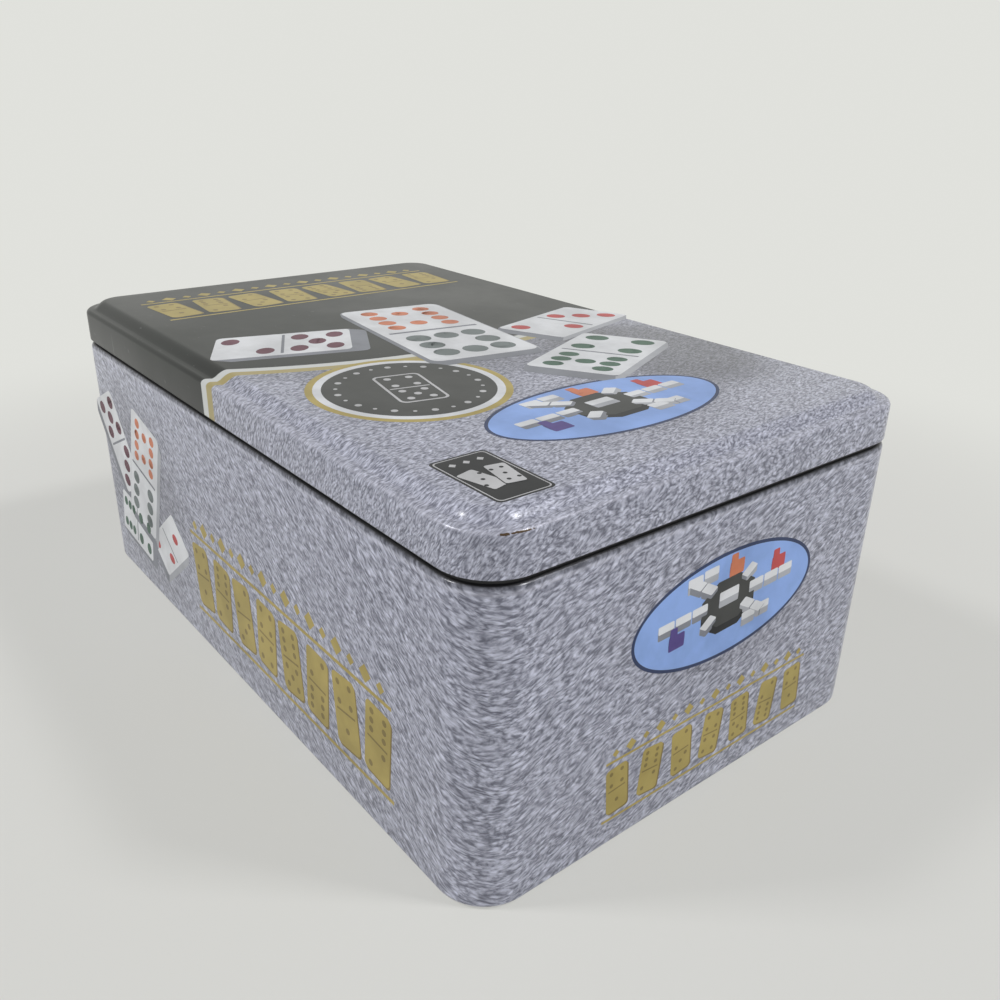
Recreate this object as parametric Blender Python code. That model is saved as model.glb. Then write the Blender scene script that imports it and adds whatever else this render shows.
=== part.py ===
"""A domino set in a slip-lid tin: tin, lid, insert tray, 91 tiles, hub, train markers and rules leaflet.

Metres, +Z up. The tin stands on Z = 0, centred on the Z axis, with its long side along X.
"""

import math

import bmesh
import bpy
from mathutils import Matrix

# Tin: its length, width and height follow from what it holds, further down
CORNER_RADIUS = 0.011
CORNER_STEPS = 6
SHEET = 0.0004

# Running and seating gaps
SLIP_GAP = 0.00035
SEAT_GAP = 0.0003

# Lid: a pressed shell with a hemmed edge and a raised top panel
LID_DEPTH = 0.0106
LID_HEADROOM = 0.0013
LID_HEM = 0.0008
LID_HEM_HEIGHT = 0.003
LID_EDGE_RADIUS = 0.0014
LID_LEDGE_WIDTH = 0.0011
LID_PANEL_RISE = 0.0020
LID_PANEL_SLOPE = 0.0030
LID_PANEL_STEPS = 4
ARC_STEPS = 4

# Body: a wrapped wall that is necked in under the lid and turned in at the floor
SHOULDER_GAP = 0.0010
SHOULDER_RADIUS = 0.0011
BODY_EDGE_RADIUS = 0.0012
BODY_FLANGE = 0.0034
RIM_HEM = 0.0008
RIM_HEM_HEIGHT = 0.0025

# Base: a dished panel that is seamed onto the turned-in edge of the wall
BASE_RIM_WIDTH = 0.0038
BASE_DISH_SLOPE = 0.0014
BASE_DISH_RISE = 0.0019

# Tiles: six joined tiles and a loose top tile in each of thirteen stacks
TILE_LENGTH = 0.048
TILE_WIDTH = 0.024
TILE_THICKNESS = 0.008
TILE_CORNER_RADIUS = 0.0022
TILE_EDGE = 0.0007
TILE_GROOVE_WIDTH = 0.0012
TILE_GROOVE_DEPTH = 0.0005
TILES_JOINED = 6
COLUMNS = 7
FREE_COLUMN = 4
STACK_STEPS = 1
TOP_TILE_STEPS = 2

# Insert tray: one thermoformed pocket with shelves at its ends and sides that reach the tin
TRAY_END_SHELF = 0.00755
TRAY_SIDE_SHELF = 0.0093
TRAY_WALL = 0.0008
TRAY_HEIGHT = 0.044
TRAY_LIP = 0.006
TRAY_EDGE = 0.0006
TRAY_POCKET_RADIUS = 0.003
TRAY_STEPS = 4

# Hub: an eight-sided plate with a place for the first tile and a slot in each side
HUB_SIDES = 8
HUB_WEB = 0.00183
HUB_HEIGHT = 0.012
HUB_EDGE = 0.0010
HUB_RECESS_DEPTH = 0.0035
HUB_SLOT_LENGTH = 0.012
HUB_TILE_GAP = 0.0005
HUB_UNDER_RIM = 0.006
HUB_UNDER_DEPTH = 0.0035

# Train markers: small one-piece locomotives that stand on the tiles beside the hub
MARKER_LENGTH = 0.026
MARKER_WIDTH = 0.0115
MARKER_HEIGHT = 0.0155
MARKER_HUB_GAP = 0.003
MARKER_PITCH = 0.022
MARKERS_PER_SIDE = 4
WHEEL_RADIUS = 0.0028
WHEEL_WIDTH = 0.0016
WHEEL_SIDES = 10
CHASSIS_WIDTH = 0.0075
CHASSIS_HEIGHT = 0.003
CHASSIS_CLEARANCE = 0.0026
BOILER_RADIUS = 0.0041
BOILER_SIDES = 12
CAB_LENGTH = 0.0085
CAB_WIDTH = 0.0102
ROOF_OVERHANG = 0.0009
ROOF_THICKNESS = 0.0014
CHIMNEY_BASE_RADIUS = 0.0013
CHIMNEY_TOP_RADIUS = 0.0021
CHIMNEY_SETBACK = 0.0042
DOME_RADIUS = 0.0018
DOME_RISE = 0.0019
BUFFER_THICKNESS = 0.0012
BITE = 0.0004

# Rules leaflet: folded paper that lies on the markers and is as long as their two rows and the hub
LEAFLET_WIDTH = 0.095
LEAFLET_THICKNESS = 0.0010
LEAFLET_FOLD_RADIUS = 0.0005
LEAFLET_STEPS = 2

OVERRUN = 0.002

# Plan sizes that follow from the sizes above, from the tiles out to the tin
column_pitch = TILE_WIDTH + SEAT_GAP
row_offset = (TILE_LENGTH + SEAT_GAP) / 2
pocket_length = COLUMNS * column_pitch + SEAT_GAP
pocket_width = 2 * (TILE_LENGTH + SEAT_GAP) + SEAT_GAP
tray_length = pocket_length + 2 * TRAY_END_SHELF
tray_width = pocket_width + 2 * TRAY_SIDE_SHELF
neck_inset = LID_HEM + SLIP_GAP
rim_inner_inset = neck_inset + RIM_HEM
tray_inset = rim_inner_inset + SEAT_GAP
tin_length = tray_length + 2 * tray_inset
tin_width = tray_width + 2 * tray_inset
hub_slot_width = TILE_WIDTH + HUB_TILE_GAP
hub_inner_radius = (hub_slot_width / 2 + HUB_WEB) / math.tan(math.pi / HUB_SIDES)
hub_across_flats = 2 * (hub_inner_radius + HUB_SLOT_LENGTH)
leaflet_length = hub_across_flats + 2 * (MARKER_HUB_GAP + MARKER_LENGTH)

# Heights that follow from the sizes above, from the floor up
base_rim_bottom = SHEET + SEAT_GAP
base_top = base_rim_bottom + BASE_DISH_RISE + SHEET
tray_bottom = base_top + SEAT_GAP
tray_rim = tray_bottom + TRAY_HEIGHT
stack_bottom = tray_bottom + TRAY_WALL + SEAT_GAP
stack_top = stack_bottom + TILES_JOINED * TILE_THICKNESS
top_tile_bottom = stack_top + SEAT_GAP
top_tile_top = top_tile_bottom + TILE_THICKNESS
accessory_bottom = top_tile_top + SEAT_GAP
leaflet_bottom = accessory_bottom + max(MARKER_HEIGHT, HUB_HEIGHT) + SEAT_GAP
tin_height = leaflet_bottom + LEAFLET_THICKNESS + LID_HEADROOM + SHEET
lid_ledge_height = tin_height - LID_PANEL_RISE
lid_edge_height = tin_height - LID_DEPTH
rim_height = lid_ledge_height - SHEET - SEAT_GAP
shoulder_height = lid_edge_height - SHOULDER_GAP

# Colours, roughness and metallic of the finishes
FINISHES = {
    "grained_lacquer": ((0.42, 0.41, 0.47), 0.35, 0.3),
    "bare_tinplate": ((0.62, 0.62, 0.60), 0.3, 1.0),
    "tile_white": ((0.86, 0.85, 0.80), 0.25, 0.0),
    "tray_black": ((0.03, 0.03, 0.035), 0.45, 0.0),
    "hub_black": ((0.015, 0.015, 0.018), 0.25, 0.0),
    "paper": ((0.80, 0.79, 0.75), 0.75, 0.0),
    "purple": ((0.16, 0.05, 0.30), 0.3, 0.0),
    "orange": ((0.85, 0.22, 0.06), 0.3, 0.0),
    "black": ((0.02, 0.02, 0.02), 0.3, 0.0),
    "white": ((0.85, 0.85, 0.83), 0.3, 0.0),
    "red": ((0.60, 0.03, 0.04), 0.3, 0.0),
    "green": ((0.05, 0.35, 0.12), 0.3, 0.0),
    "yellow": ((0.85, 0.62, 0.06), 0.3, 0.0),
    "blue": ((0.05, 0.16, 0.55), 0.3, 0.0),
}
MARKER_COLOURS = ["purple", "orange", "black", "white", "red", "green", "yellow", "blue"]


def clear_scene():
    for item in list(bpy.data.objects):
        bpy.data.objects.remove(item)


def new_collection(name):
    collection = bpy.data.collections.new(name)
    bpy.context.scene.collection.children.link(collection)
    return collection


def finish(name):
    """The material of one finish, made the first time it is asked for."""
    if name in bpy.data.materials:
        return bpy.data.materials[name]
    colour, roughness, metallic = FINISHES[name]
    material = bpy.data.materials.new(name)
    material.use_nodes = True
    shader = material.node_tree.nodes["Principled BSDF"]
    shader.inputs["Base Color"].default_value = (*colour, 1)
    shader.inputs["Roughness"].default_value = roughness
    shader.inputs["Metallic"].default_value = metallic
    return material


def add_object(name, mesh, collection, material_name=None, place=(0, 0, 0)):
    item = bpy.data.objects.new(name, mesh)
    item.location = place
    collection.objects.link(item)
    if material_name:
        item.data.materials.clear()
        item.data.materials.append(finish(material_name))
    return item


def mesh_from(bm, name):
    mesh = bpy.data.meshes.new(name)
    bmesh.ops.recalc_face_normals(bm, faces=bm.faces)
    bm.to_mesh(mesh)
    bm.free()
    return mesh


def ring(length, width, radius, height, steps):
    """Corner points of a rounded rectangle at one height, counter-clockwise from the +X side."""
    centres = [(1, 1), (-1, 1), (-1, -1), (1, -1)]
    points = []
    for quarter, (side_x, side_y) in enumerate(centres):
        centre_x = side_x * (length / 2 - radius)
        centre_y = side_y * (width / 2 - radius)
        for step in range(steps + 1):
            angle = (quarter + step / steps) * math.pi / 2
            x = centre_x + radius * math.cos(angle)
            y = centre_y + radius * math.sin(angle)
            points.append((x, y, height))
    return points


def loft(name, sections, steps, joined_ends=False):
    """A closed skin through rounded rectangles, each given as length, width, radius and height.

    Its ends are capped, or joined to each other where the skin is a tube that closes on itself.
    """
    bm = bmesh.new()
    rings = [[bm.verts.new(point) for point in ring(*section, steps)] for section in sections]
    pairs = list(zip(rings, rings[1:]))
    if joined_ends:
        pairs.append((rings[-1], rings[0]))
    else:
        bm.faces.new(rings[0])
        bm.faces.new(rings[-1])
    count = len(rings[0])
    for lower, upper in pairs:
        for index in range(count):
            following = (index + 1) % count
            bm.faces.new((lower[index], lower[following], upper[following], upper[index]))
    return mesh_from(bm, name)


def at(inset, height):
    """The section of the tin's own outline that lies a given inset inside it."""
    return (tin_length - 2 * inset, tin_width - 2 * inset, CORNER_RADIUS - inset, height)


def arc(inset, height, radius, start, end):
    """Sections of the tin's outline along an arc, with its angles in degrees from outwards to up."""
    sections = []
    for step in range(ARC_STEPS + 1):
        angle = math.radians(start + (end - start) * step / ARC_STEPS)
        sections.append(at(inset - radius * math.cos(angle), height + radius * math.sin(angle)))
    return sections


def add_box(bm, size, centre, turn=0):
    """A box in a bmesh, turned by an angle about the Z axis after it is put in its place."""
    place = Matrix.Rotation(turn, 4, "Z") @ Matrix.Translation(centre) @ Matrix.Diagonal((*size, 1))
    return bmesh.ops.create_cube(bm, size=1, matrix=place)["verts"]


def add_rod(bm, radius_low, radius_high, length, sides, place):
    bmesh.ops.create_cone(
        bm, cap_ends=True, segments=sides, radius1=radius_low, radius2=radius_high, depth=length, matrix=place
    )


def boolean(target, tool, operation):
    tool.hide_render = True
    tool.display_type = "WIRE"
    modifier = target.modifiers.new(operation.lower(), "BOOLEAN")
    modifier.object = tool
    modifier.operation = operation
    modifier.solver = "EXACT"


def lid_top(drop, skin):
    """The pressed top from the outer edge to the raised panel, lowered by a drop and drawn in by a skin."""
    edge_inset = LID_EDGE_RADIUS + LID_LEDGE_WIDTH
    ledge = lid_ledge_height - drop
    centre_height = lid_ledge_height - LID_EDGE_RADIUS
    sections = arc(LID_EDGE_RADIUS, centre_height, LID_EDGE_RADIUS - skin, 0, 90)
    for step in range(LID_PANEL_STEPS + 1):
        share = step / LID_PANEL_STEPS
        rise = LID_PANEL_RISE * math.sin(share * math.pi / 2)
        sections.append(at(edge_inset + skin + LID_PANEL_SLOPE * share, ledge + rise))
    return sections


def build_lid(collection):
    underside = lid_top(SHEET, SHEET)
    underside.reverse()
    inner_wall = [
        at(SHEET, lid_edge_height + LID_HEM_HEIGHT + LID_HEM),
        at(LID_HEM, lid_edge_height + LID_HEM_HEIGHT),
        at(LID_HEM, lid_edge_height + LID_HEM / 4),
        at(LID_HEM * 3 / 4, lid_edge_height),
    ]
    outer_wall = [
        at(LID_HEM / 4, lid_edge_height),
        at(0, lid_edge_height + LID_HEM / 4),
    ]
    sections = underside + inner_wall + outer_wall + lid_top(0, 0)
    add_object("lid", loft("lid", sections, CORNER_STEPS), collection, "grained_lacquer")


def build_tin(collection):
    outside = arc(BODY_EDGE_RADIUS, BODY_EDGE_RADIUS, BODY_EDGE_RADIUS, -90, 0)
    shoulder_start = shoulder_height - SHOULDER_RADIUS
    outside += arc(SHOULDER_RADIUS, shoulder_start, SHOULDER_RADIUS, 0, 90)
    outside += [
        at(neck_inset, shoulder_height),
        at(neck_inset, rim_height - RIM_HEM / 4),
        at(neck_inset + RIM_HEM / 4, rim_height),
    ]
    neck_inner = neck_inset + SHEET
    inside = [
        at(rim_inner_inset - RIM_HEM / 4, rim_height),
        at(rim_inner_inset, rim_height - RIM_HEM / 4),
        at(rim_inner_inset, rim_height - RIM_HEM_HEIGHT),
        at(neck_inner, rim_height - RIM_HEM_HEIGHT - RIM_HEM),
        at(neck_inner, shoulder_height - SHEET),
    ]
    shoulder_inside = arc(SHOULDER_RADIUS, shoulder_start, SHOULDER_RADIUS - SHEET, 0, 90)
    shoulder_inside.reverse()
    edge_inside = arc(BODY_EDGE_RADIUS, BODY_EDGE_RADIUS, BODY_EDGE_RADIUS - SHEET, -90, 0)
    edge_inside.reverse()
    flange_inset = BODY_EDGE_RADIUS + BODY_FLANGE
    flange = [at(flange_inset, SHEET), at(flange_inset, 0)]
    sections = outside + inside + shoulder_inside + edge_inside + flange
    add_object("tin_body", loft("tin_body", sections, CORNER_STEPS, True), collection, "grained_lacquer")

    outer_inset = BODY_EDGE_RADIUS + SEAT_GAP
    dish_inset = outer_inset + BASE_RIM_WIDTH
    panel_inset = dish_inset + BASE_DISH_SLOPE
    rim_top = base_rim_bottom + SHEET
    panel = [
        at(panel_inset + SHEET / 2, base_top - SHEET),
        at(dish_inset + SHEET / 2, base_rim_bottom),
        at(outer_inset, base_rim_bottom),
        at(outer_inset, rim_top),
        at(dish_inset, rim_top),
        at(panel_inset, base_top),
    ]
    add_object("tin_base", loft("tin_base", panel, CORNER_STEPS), collection, "bare_tinplate")


def build_tray(collection):
    outer_length = tray_length
    outer_width = tray_width
    outer_radius = CORNER_RADIUS - tray_inset
    wall_length = pocket_length + 2 * TRAY_WALL
    wall_width = pocket_width + 2 * TRAY_WALL
    wall_radius = TRAY_POCKET_RADIUS + TRAY_WALL
    inner_length = outer_length - 2 * TRAY_WALL
    inner_width = outer_width - 2 * TRAY_WALL
    inner_radius = outer_radius - TRAY_WALL
    sections = [
        (
            wall_length - 2 * TRAY_EDGE,
            wall_width - 2 * TRAY_EDGE,
            wall_radius - TRAY_EDGE,
            tray_bottom,
        ),
        (wall_length, wall_width, wall_radius, tray_bottom + TRAY_EDGE),
        (wall_length, wall_width, wall_radius, tray_rim - TRAY_WALL),
        (inner_length, inner_width, inner_radius, tray_rim - TRAY_WALL),
        (inner_length, inner_width, inner_radius, tray_rim - TRAY_LIP),
        (outer_length, outer_width, outer_radius, tray_rim - TRAY_LIP),
        (outer_length, outer_width, outer_radius, tray_rim - TRAY_EDGE),
        (
            outer_length - 2 * TRAY_EDGE,
            outer_width - 2 * TRAY_EDGE,
            outer_radius - TRAY_EDGE,
            tray_rim,
        ),
        (pocket_length, pocket_width, TRAY_POCKET_RADIUS, tray_rim),
        (pocket_length, pocket_width, TRAY_POCKET_RADIUS, tray_bottom + TRAY_WALL),
    ]
    add_object("tile_tray", loft("tile_tray", sections, TRAY_STEPS), collection, "tray_black")


def tile_section(inset, height):
    return (
        TILE_WIDTH - 2 * inset,
        TILE_LENGTH - 2 * inset,
        TILE_CORNER_RADIUS - inset,
        height,
    )


def build_tiles(collection, cutters):
    stack_sections = [tile_section(TILE_EDGE, 0)]
    for index in range(TILES_JOINED):
        foot = index * TILE_THICKNESS
        stack_sections.append(tile_section(0, foot + TILE_EDGE))
        stack_sections.append(tile_section(0, foot + TILE_THICKNESS - TILE_EDGE))
        stack_sections.append(tile_section(TILE_EDGE, foot + TILE_THICKNESS))
    stack_mesh = loft("tile_stack", stack_sections, STACK_STEPS)

    tile_sections = [
        tile_section(TILE_EDGE, 0),
        tile_section(0, TILE_EDGE),
        tile_section(0, TILE_THICKNESS - TILE_EDGE),
        tile_section(TILE_EDGE, TILE_THICKNESS),
    ]
    top_mesh = loft("top_tile", tile_sections, TOP_TILE_STEPS)
    bm = bmesh.new()
    groove_size = (TILE_WIDTH + 2 * OVERRUN, TILE_GROOVE_WIDTH, 2 * TILE_GROOVE_DEPTH)
    add_box(bm, groove_size, (0, 0, TILE_THICKNESS))
    groove_mesh = mesh_from(bm, "tile_groove")

    for row, side in (("front", -1), ("back", 1)):
        number = 0
        for column in range(1, COLUMNS + 1):
            if row == "back" and column == FREE_COLUMN:
                continue
            number += 1
            x = (column - (COLUMNS + 1) / 2) * column_pitch
            y = side * row_offset
            place = (x, y, stack_bottom)
            add_object(f"tile_stack_{row}_{number}", stack_mesh, collection, "tile_white", place)
            top_place = (x, y, top_tile_bottom)
            tile = add_object(f"top_tile_{row}_{number}", top_mesh, collection, "tile_white", top_place)
            groove = add_object(f"groove_{row}_{number}", groove_mesh, cutters, None, top_place)
            boolean(tile, groove, "DIFFERENCE")


def build_hub(collection, cutters):
    corner_radius = hub_across_flats / 2 / math.cos(math.pi / HUB_SIDES)
    turn = Matrix.Rotation(math.pi / HUB_SIDES, 4, "Z")
    bm = bmesh.new()
    place = turn @ Matrix.Translation((0, 0, HUB_HEIGHT / 2))
    add_rod(bm, corner_radius, corner_radius, HUB_HEIGHT, HUB_SIDES, place)
    top_edges = [edge for edge in bm.edges if all(vert.co.z > HUB_HEIGHT / 2 for vert in edge.verts)]
    bmesh.ops.bevel(bm, geom=top_edges, offset=HUB_EDGE, segments=2, profile=0.5, affect="EDGES")
    hub = add_object("hub", mesh_from(bm, "hub"), collection, "hub_black", (0, 0, accessory_bottom))

    cutter = bmesh.new()
    recess_height = 2 * HUB_RECESS_DEPTH
    middle = (hub_slot_width, TILE_LENGTH + HUB_TILE_GAP, recess_height)
    add_box(cutter, middle, (0, 0, HUB_HEIGHT))
    slot = (HUB_SLOT_LENGTH + OVERRUN, hub_slot_width, recess_height)
    slot_centre = (hub_across_flats / 2 - HUB_SLOT_LENGTH / 2 + OVERRUN / 2, 0, HUB_HEIGHT)
    for side in range(HUB_SIDES):
        add_box(cutter, slot, slot_centre, side * 2 * math.pi / HUB_SIDES)
    under_radius = corner_radius - HUB_UNDER_RIM
    add_rod(cutter, under_radius, under_radius, 2 * HUB_UNDER_DEPTH, HUB_SIDES, turn)
    mesh = mesh_from(cutter, "hub_cutter")
    tool = add_object("hub_cutter", mesh, cutters, None, (0, 0, accessory_bottom))
    boolean(hub, tool, "DIFFERENCE")


def marker_mesh(cutters):
    """One locomotive, along X with its front at +X, standing on Z = 0."""
    half_length = MARKER_LENGTH / 2
    chassis_top = CHASSIS_CLEARANCE + CHASSIS_HEIGHT
    chassis_length = MARKER_LENGTH - ROOF_OVERHANG - BUFFER_THICKNESS
    chassis_x = (ROOF_OVERHANG - BUFFER_THICKNESS) / 2
    boiler_height = chassis_top - BITE + BOILER_RADIUS
    cab_top = MARKER_HEIGHT - ROOF_THICKNESS
    cab_x = -half_length + ROOF_OVERHANG + CAB_LENGTH / 2
    cab_front = cab_x + CAB_LENGTH / 2
    boiler_front = half_length - BUFFER_THICKNESS
    pieces = []

    bm = bmesh.new()
    size = (chassis_length, CHASSIS_WIDTH, CHASSIS_HEIGHT)
    add_box(bm, size, (chassis_x, 0, CHASSIS_CLEARANCE + CHASSIS_HEIGHT / 2))
    pieces.append(mesh_from(bm, "chassis"))

    bm = bmesh.new()
    size = (CAB_LENGTH, CAB_WIDTH, cab_top - chassis_top + 2 * BITE)
    add_box(bm, size, (cab_x, 0, (cab_top + chassis_top) / 2))
    pieces.append(mesh_from(bm, "cab"))

    bm = bmesh.new()
    size = (CAB_LENGTH + 2 * ROOF_OVERHANG, MARKER_WIDTH, ROOF_THICKNESS)
    roof_middle = MARKER_HEIGHT - ROOF_THICKNESS / 2
    add_box(bm, size, (cab_x, 0, roof_middle))
    upper = [edge for edge in bm.edges if all(vert.co.z > roof_middle for vert in edge.verts)]
    bmesh.ops.bevel(bm, geom=upper, offset=ROOF_THICKNESS / 2, segments=1, affect="EDGES")
    pieces.append(mesh_from(bm, "roof"))

    bm = bmesh.new()
    length = boiler_front - cab_front + BITE
    place = Matrix.Translation(((boiler_front + cab_front - BITE) / 2, 0, boiler_height))
    place = place @ Matrix.Rotation(math.pi / 2, 4, "Y")
    add_rod(bm, BOILER_RADIUS, BOILER_RADIUS, length, BOILER_SIDES, place)
    pieces.append(mesh_from(bm, "boiler"))

    bm = bmesh.new()
    foot = boiler_height + BOILER_RADIUS / 2
    height = MARKER_HEIGHT - foot
    place = Matrix.Translation((boiler_front - CHIMNEY_SETBACK, 0, foot + height / 2))
    add_rod(bm, CHIMNEY_BASE_RADIUS, CHIMNEY_TOP_RADIUS, height, WHEEL_SIDES, place)
    pieces.append(mesh_from(bm, "chimney"))

    bm = bmesh.new()
    dome_top = boiler_height + BOILER_RADIUS + DOME_RISE
    height = dome_top - foot
    place = Matrix.Translation(((boiler_front - CHIMNEY_SETBACK + cab_front) / 2, 0, foot + height / 2))
    add_rod(bm, DOME_RADIUS, DOME_RADIUS * 2 / 3, height, WHEEL_SIDES, place)
    pieces.append(mesh_from(bm, "dome"))

    bm = bmesh.new()
    size = (BUFFER_THICKNESS + BITE, MARKER_WIDTH, CHASSIS_HEIGHT)
    centre_x = half_length - (BUFFER_THICKNESS + BITE) / 2
    centre_z = CHASSIS_CLEARANCE + CHASSIS_HEIGHT / 2 - BITE / 2
    add_box(bm, size, (centre_x, 0, centre_z))
    pieces.append(mesh_from(bm, "buffer"))

    wheel_y = CHASSIS_WIDTH / 2 + WHEEL_WIDTH / 2 - BITE
    wheel_span = MARKER_LENGTH / 2 - WHEEL_RADIUS - 2 * BUFFER_THICKNESS
    for axle in (-1, 0, 1):
        for side in (-1, 1):
            bm = bmesh.new()
            place = Matrix.Translation((axle * wheel_span, side * wheel_y, WHEEL_RADIUS))
            place = place @ Matrix.Rotation(math.pi / 2, 4, "X")
            add_rod(bm, WHEEL_RADIUS, WHEEL_RADIUS, WHEEL_WIDTH, WHEEL_SIDES, place)
            pieces.append(mesh_from(bm, "wheel"))

    whole = add_object("marker_form", pieces[0], cutters)
    for mesh in pieces[1:]:
        boolean(whole, add_object("marker_piece", mesh, cutters), "UNION")
    whole.hide_render = True
    whole.display_type = "WIRE"
    bpy.context.view_layer.update()
    view = whole.evaluated_get(bpy.context.evaluated_depsgraph_get())
    return bpy.data.meshes.new_from_object(view)


def build_markers(collection, cutters):
    form = marker_mesh(cutters)
    centre_x = hub_across_flats / 2 + MARKER_HUB_GAP + MARKER_LENGTH / 2
    for index, colour in enumerate(MARKER_COLOURS):
        side = -1 if index < MARKERS_PER_SIDE else 1
        place_in_row = index % MARKERS_PER_SIDE
        y = (place_in_row - (MARKERS_PER_SIDE - 1) / 2) * MARKER_PITCH
        mesh = form.copy()
        place = (side * centre_x, y, accessory_bottom)
        marker = add_object(f"train_marker_{colour}", mesh, collection, colour, place)
        marker.rotation_euler.z = math.pi if side < 0 else 0


def build_leaflet(collection):
    size = (leaflet_length, LEAFLET_WIDTH, LEAFLET_FOLD_RADIUS)
    inner = (leaflet_length - LEAFLET_THICKNESS, LEAFLET_WIDTH, LEAFLET_FOLD_RADIUS)
    middle = leaflet_bottom + LEAFLET_THICKNESS / 2
    sections = [
        (*inner, leaflet_bottom),
        (*size, middle),
        (*inner, leaflet_bottom + LEAFLET_THICKNESS),
    ]
    add_object("rules_leaflet", loft("rules_leaflet", sections, LEAFLET_STEPS), collection, "paper")


def main():
    clear_scene()
    parts = new_collection("domino_set_tin")
    cutters = new_collection("cutters")
    build_lid(parts)
    build_tin(parts)
    build_tray(parts)
    build_tiles(parts, cutters)
    build_hub(parts, cutters)
    build_markers(parts, cutters)
    build_leaflet(parts)


main()
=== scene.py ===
# %% [markdown]
# # A domino set in a slip-lid tin
# The object is a pressed tin with a lid that slips over a necked-in wall. Inside are a black
# tray with 91 tiles, an eight-sided hub, eight little train markers and a folded leaflet.
# The solids give every place and size, and this notebook gives each of them its finished
# shape, print and surface. Loading them first keeps the two models in one frame.

# %% Load the solids
import math

import bmesh
import bpy
from mathutils import Euler, Matrix, Vector


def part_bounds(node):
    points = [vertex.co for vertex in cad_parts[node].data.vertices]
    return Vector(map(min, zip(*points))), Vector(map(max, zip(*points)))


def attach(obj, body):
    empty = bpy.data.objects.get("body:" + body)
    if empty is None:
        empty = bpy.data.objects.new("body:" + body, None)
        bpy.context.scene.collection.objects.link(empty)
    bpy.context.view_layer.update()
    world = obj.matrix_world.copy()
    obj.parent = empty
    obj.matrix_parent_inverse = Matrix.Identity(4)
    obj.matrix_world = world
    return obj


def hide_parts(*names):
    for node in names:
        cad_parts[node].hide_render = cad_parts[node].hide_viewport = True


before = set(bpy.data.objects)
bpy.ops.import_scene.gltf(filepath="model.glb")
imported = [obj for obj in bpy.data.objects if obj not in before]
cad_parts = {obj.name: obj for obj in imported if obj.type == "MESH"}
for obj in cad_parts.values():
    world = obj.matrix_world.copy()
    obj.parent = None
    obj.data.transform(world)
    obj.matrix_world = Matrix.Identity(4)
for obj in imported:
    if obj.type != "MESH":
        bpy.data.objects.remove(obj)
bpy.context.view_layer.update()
MM = 0.001

# %% [markdown]
# ## Camera
# The photograph looks down on one corner of the tin from close by. Place, turn and lens were
# solved from the tin's straight edges, so they are written down as they came out of that.
# A longer lens from further off would show the same sides, but with less of the strong
# perspective that a hand-held telephone gives.

# %% Camera at the photograph's place
camera = bpy.data.objects.new("camera", bpy.data.cameras.new("camera"))
bpy.context.scene.collection.objects.link(camera)
camera.data.sensor_fit = "HORIZONTAL"
camera.data.sensor_width = 36
camera.data.lens = 34.01
camera.data.clip_start = 0.01
heading, downward, roll = 50.67, 24.24, 1.29
camera.matrix_world = (
    Matrix.Translation((0.192114, -0.135643, 0.140274))
    @ Matrix.Rotation(math.radians(heading), 4, "Z")
    @ Matrix.Rotation(math.radians(90 - downward), 4, "X")
    @ Matrix.Rotation(math.radians(roll), 4, "Z")
)
bpy.context.scene.camera = camera
bpy.context.scene.view_settings.view_transform = "Standard"
print("lens", camera.data.lens, "mm")

# %% [markdown]
# ## Node helpers
# A material is a small network of nodes. `add` makes one node and sets or links its inputs in
# one line, and the short functions after it stand for the nodes that are used most: a sum, a
# noise, a blend of two colours, a stretch of a range. Written out in full, the same networks
# would hide what each finish is about.

# %% Short ways to place nodes
def add(tree, kind, settings=None, **inputs):
    """One node, with settings, and with inputs that are values or sockets to link from."""
    made = tree.nodes.new(kind)
    for key, value in (settings or {}).items():
        setattr(made, key, value)
    for key, value in inputs.items():
        socket = made.inputs[int(key[1:])] if key[1:].isdigit() else made.inputs[key.replace("_", " ")]
        if isinstance(value, bpy.types.NodeSocket):
            tree.links.new(value, socket)
        else:
            socket.default_value = value
    return made


def sum_of(tree, operation, first, second=0.0, clamp=False):
    settings = {"operation": operation, "use_clamp": clamp}
    return add(tree, "ShaderNodeMath", settings, i0=first, i1=second).outputs[0]


def line_of(tree, value, slope, offset):
    """A value times a slope, plus an offset."""
    settings = {"operation": "MULTIPLY_ADD"}
    return add(tree, "ShaderNodeMath", settings, i0=value, i1=slope, i2=offset).outputs[0]


def vectors(tree, operation, first, second=(0, 0, 0), output="Vector"):
    settings = {"operation": operation}
    return add(tree, "ShaderNodeVectorMath", settings, i0=first, i1=second).outputs[output]


def scale_vector(tree, vector, factor):
    return add(tree, "ShaderNodeVectorMath", {"operation": "SCALE"}, i0=vector, Scale=factor).outputs[0]


def noise(tree, vector, scale, detail, **inputs):
    return add(tree, "ShaderNodeTexNoise", Vector=vector, Scale=scale, Detail=detail, **inputs).outputs[0]


def blend(tree, factor, first, second):
    """A blend of two colours by a mask."""
    return add(tree, "ShaderNodeMix", {"data_type": "RGBA"}, i0=factor, i6=first, i7=second).outputs[2]


def stretch(tree, value, low, high, to_low=0.0, to_high=1.0, kind="SMOOTHSTEP"):
    """A value between low and high, carried over to another range and cut off at its ends."""
    ends = {"From_Min": low, "From_Max": high, "To_Min": to_low, "To_Max": to_high}
    return add(tree, "ShaderNodeMapRange", {"interpolation_type": kind}, Value=value, **ends).outputs[0]


def new_group(name, inputs, outputs):
    """An empty node group; inputs are (name, type, default) and outputs are (name, type)."""
    group = bpy.data.node_groups.new(name, "ShaderNodeTree")
    for label, kind, default in inputs:
        socket = group.interface.new_socket(label, in_out="INPUT", socket_type="NodeSocket" + kind)
        if default is not None:
            socket.default_value = default
    for label, kind in outputs:
        group.interface.new_socket(label, in_out="OUTPUT", socket_type="NodeSocket" + kind)
    return group, add(group, "NodeGroupInput").outputs, add(group, "NodeGroupOutput").inputs


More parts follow.
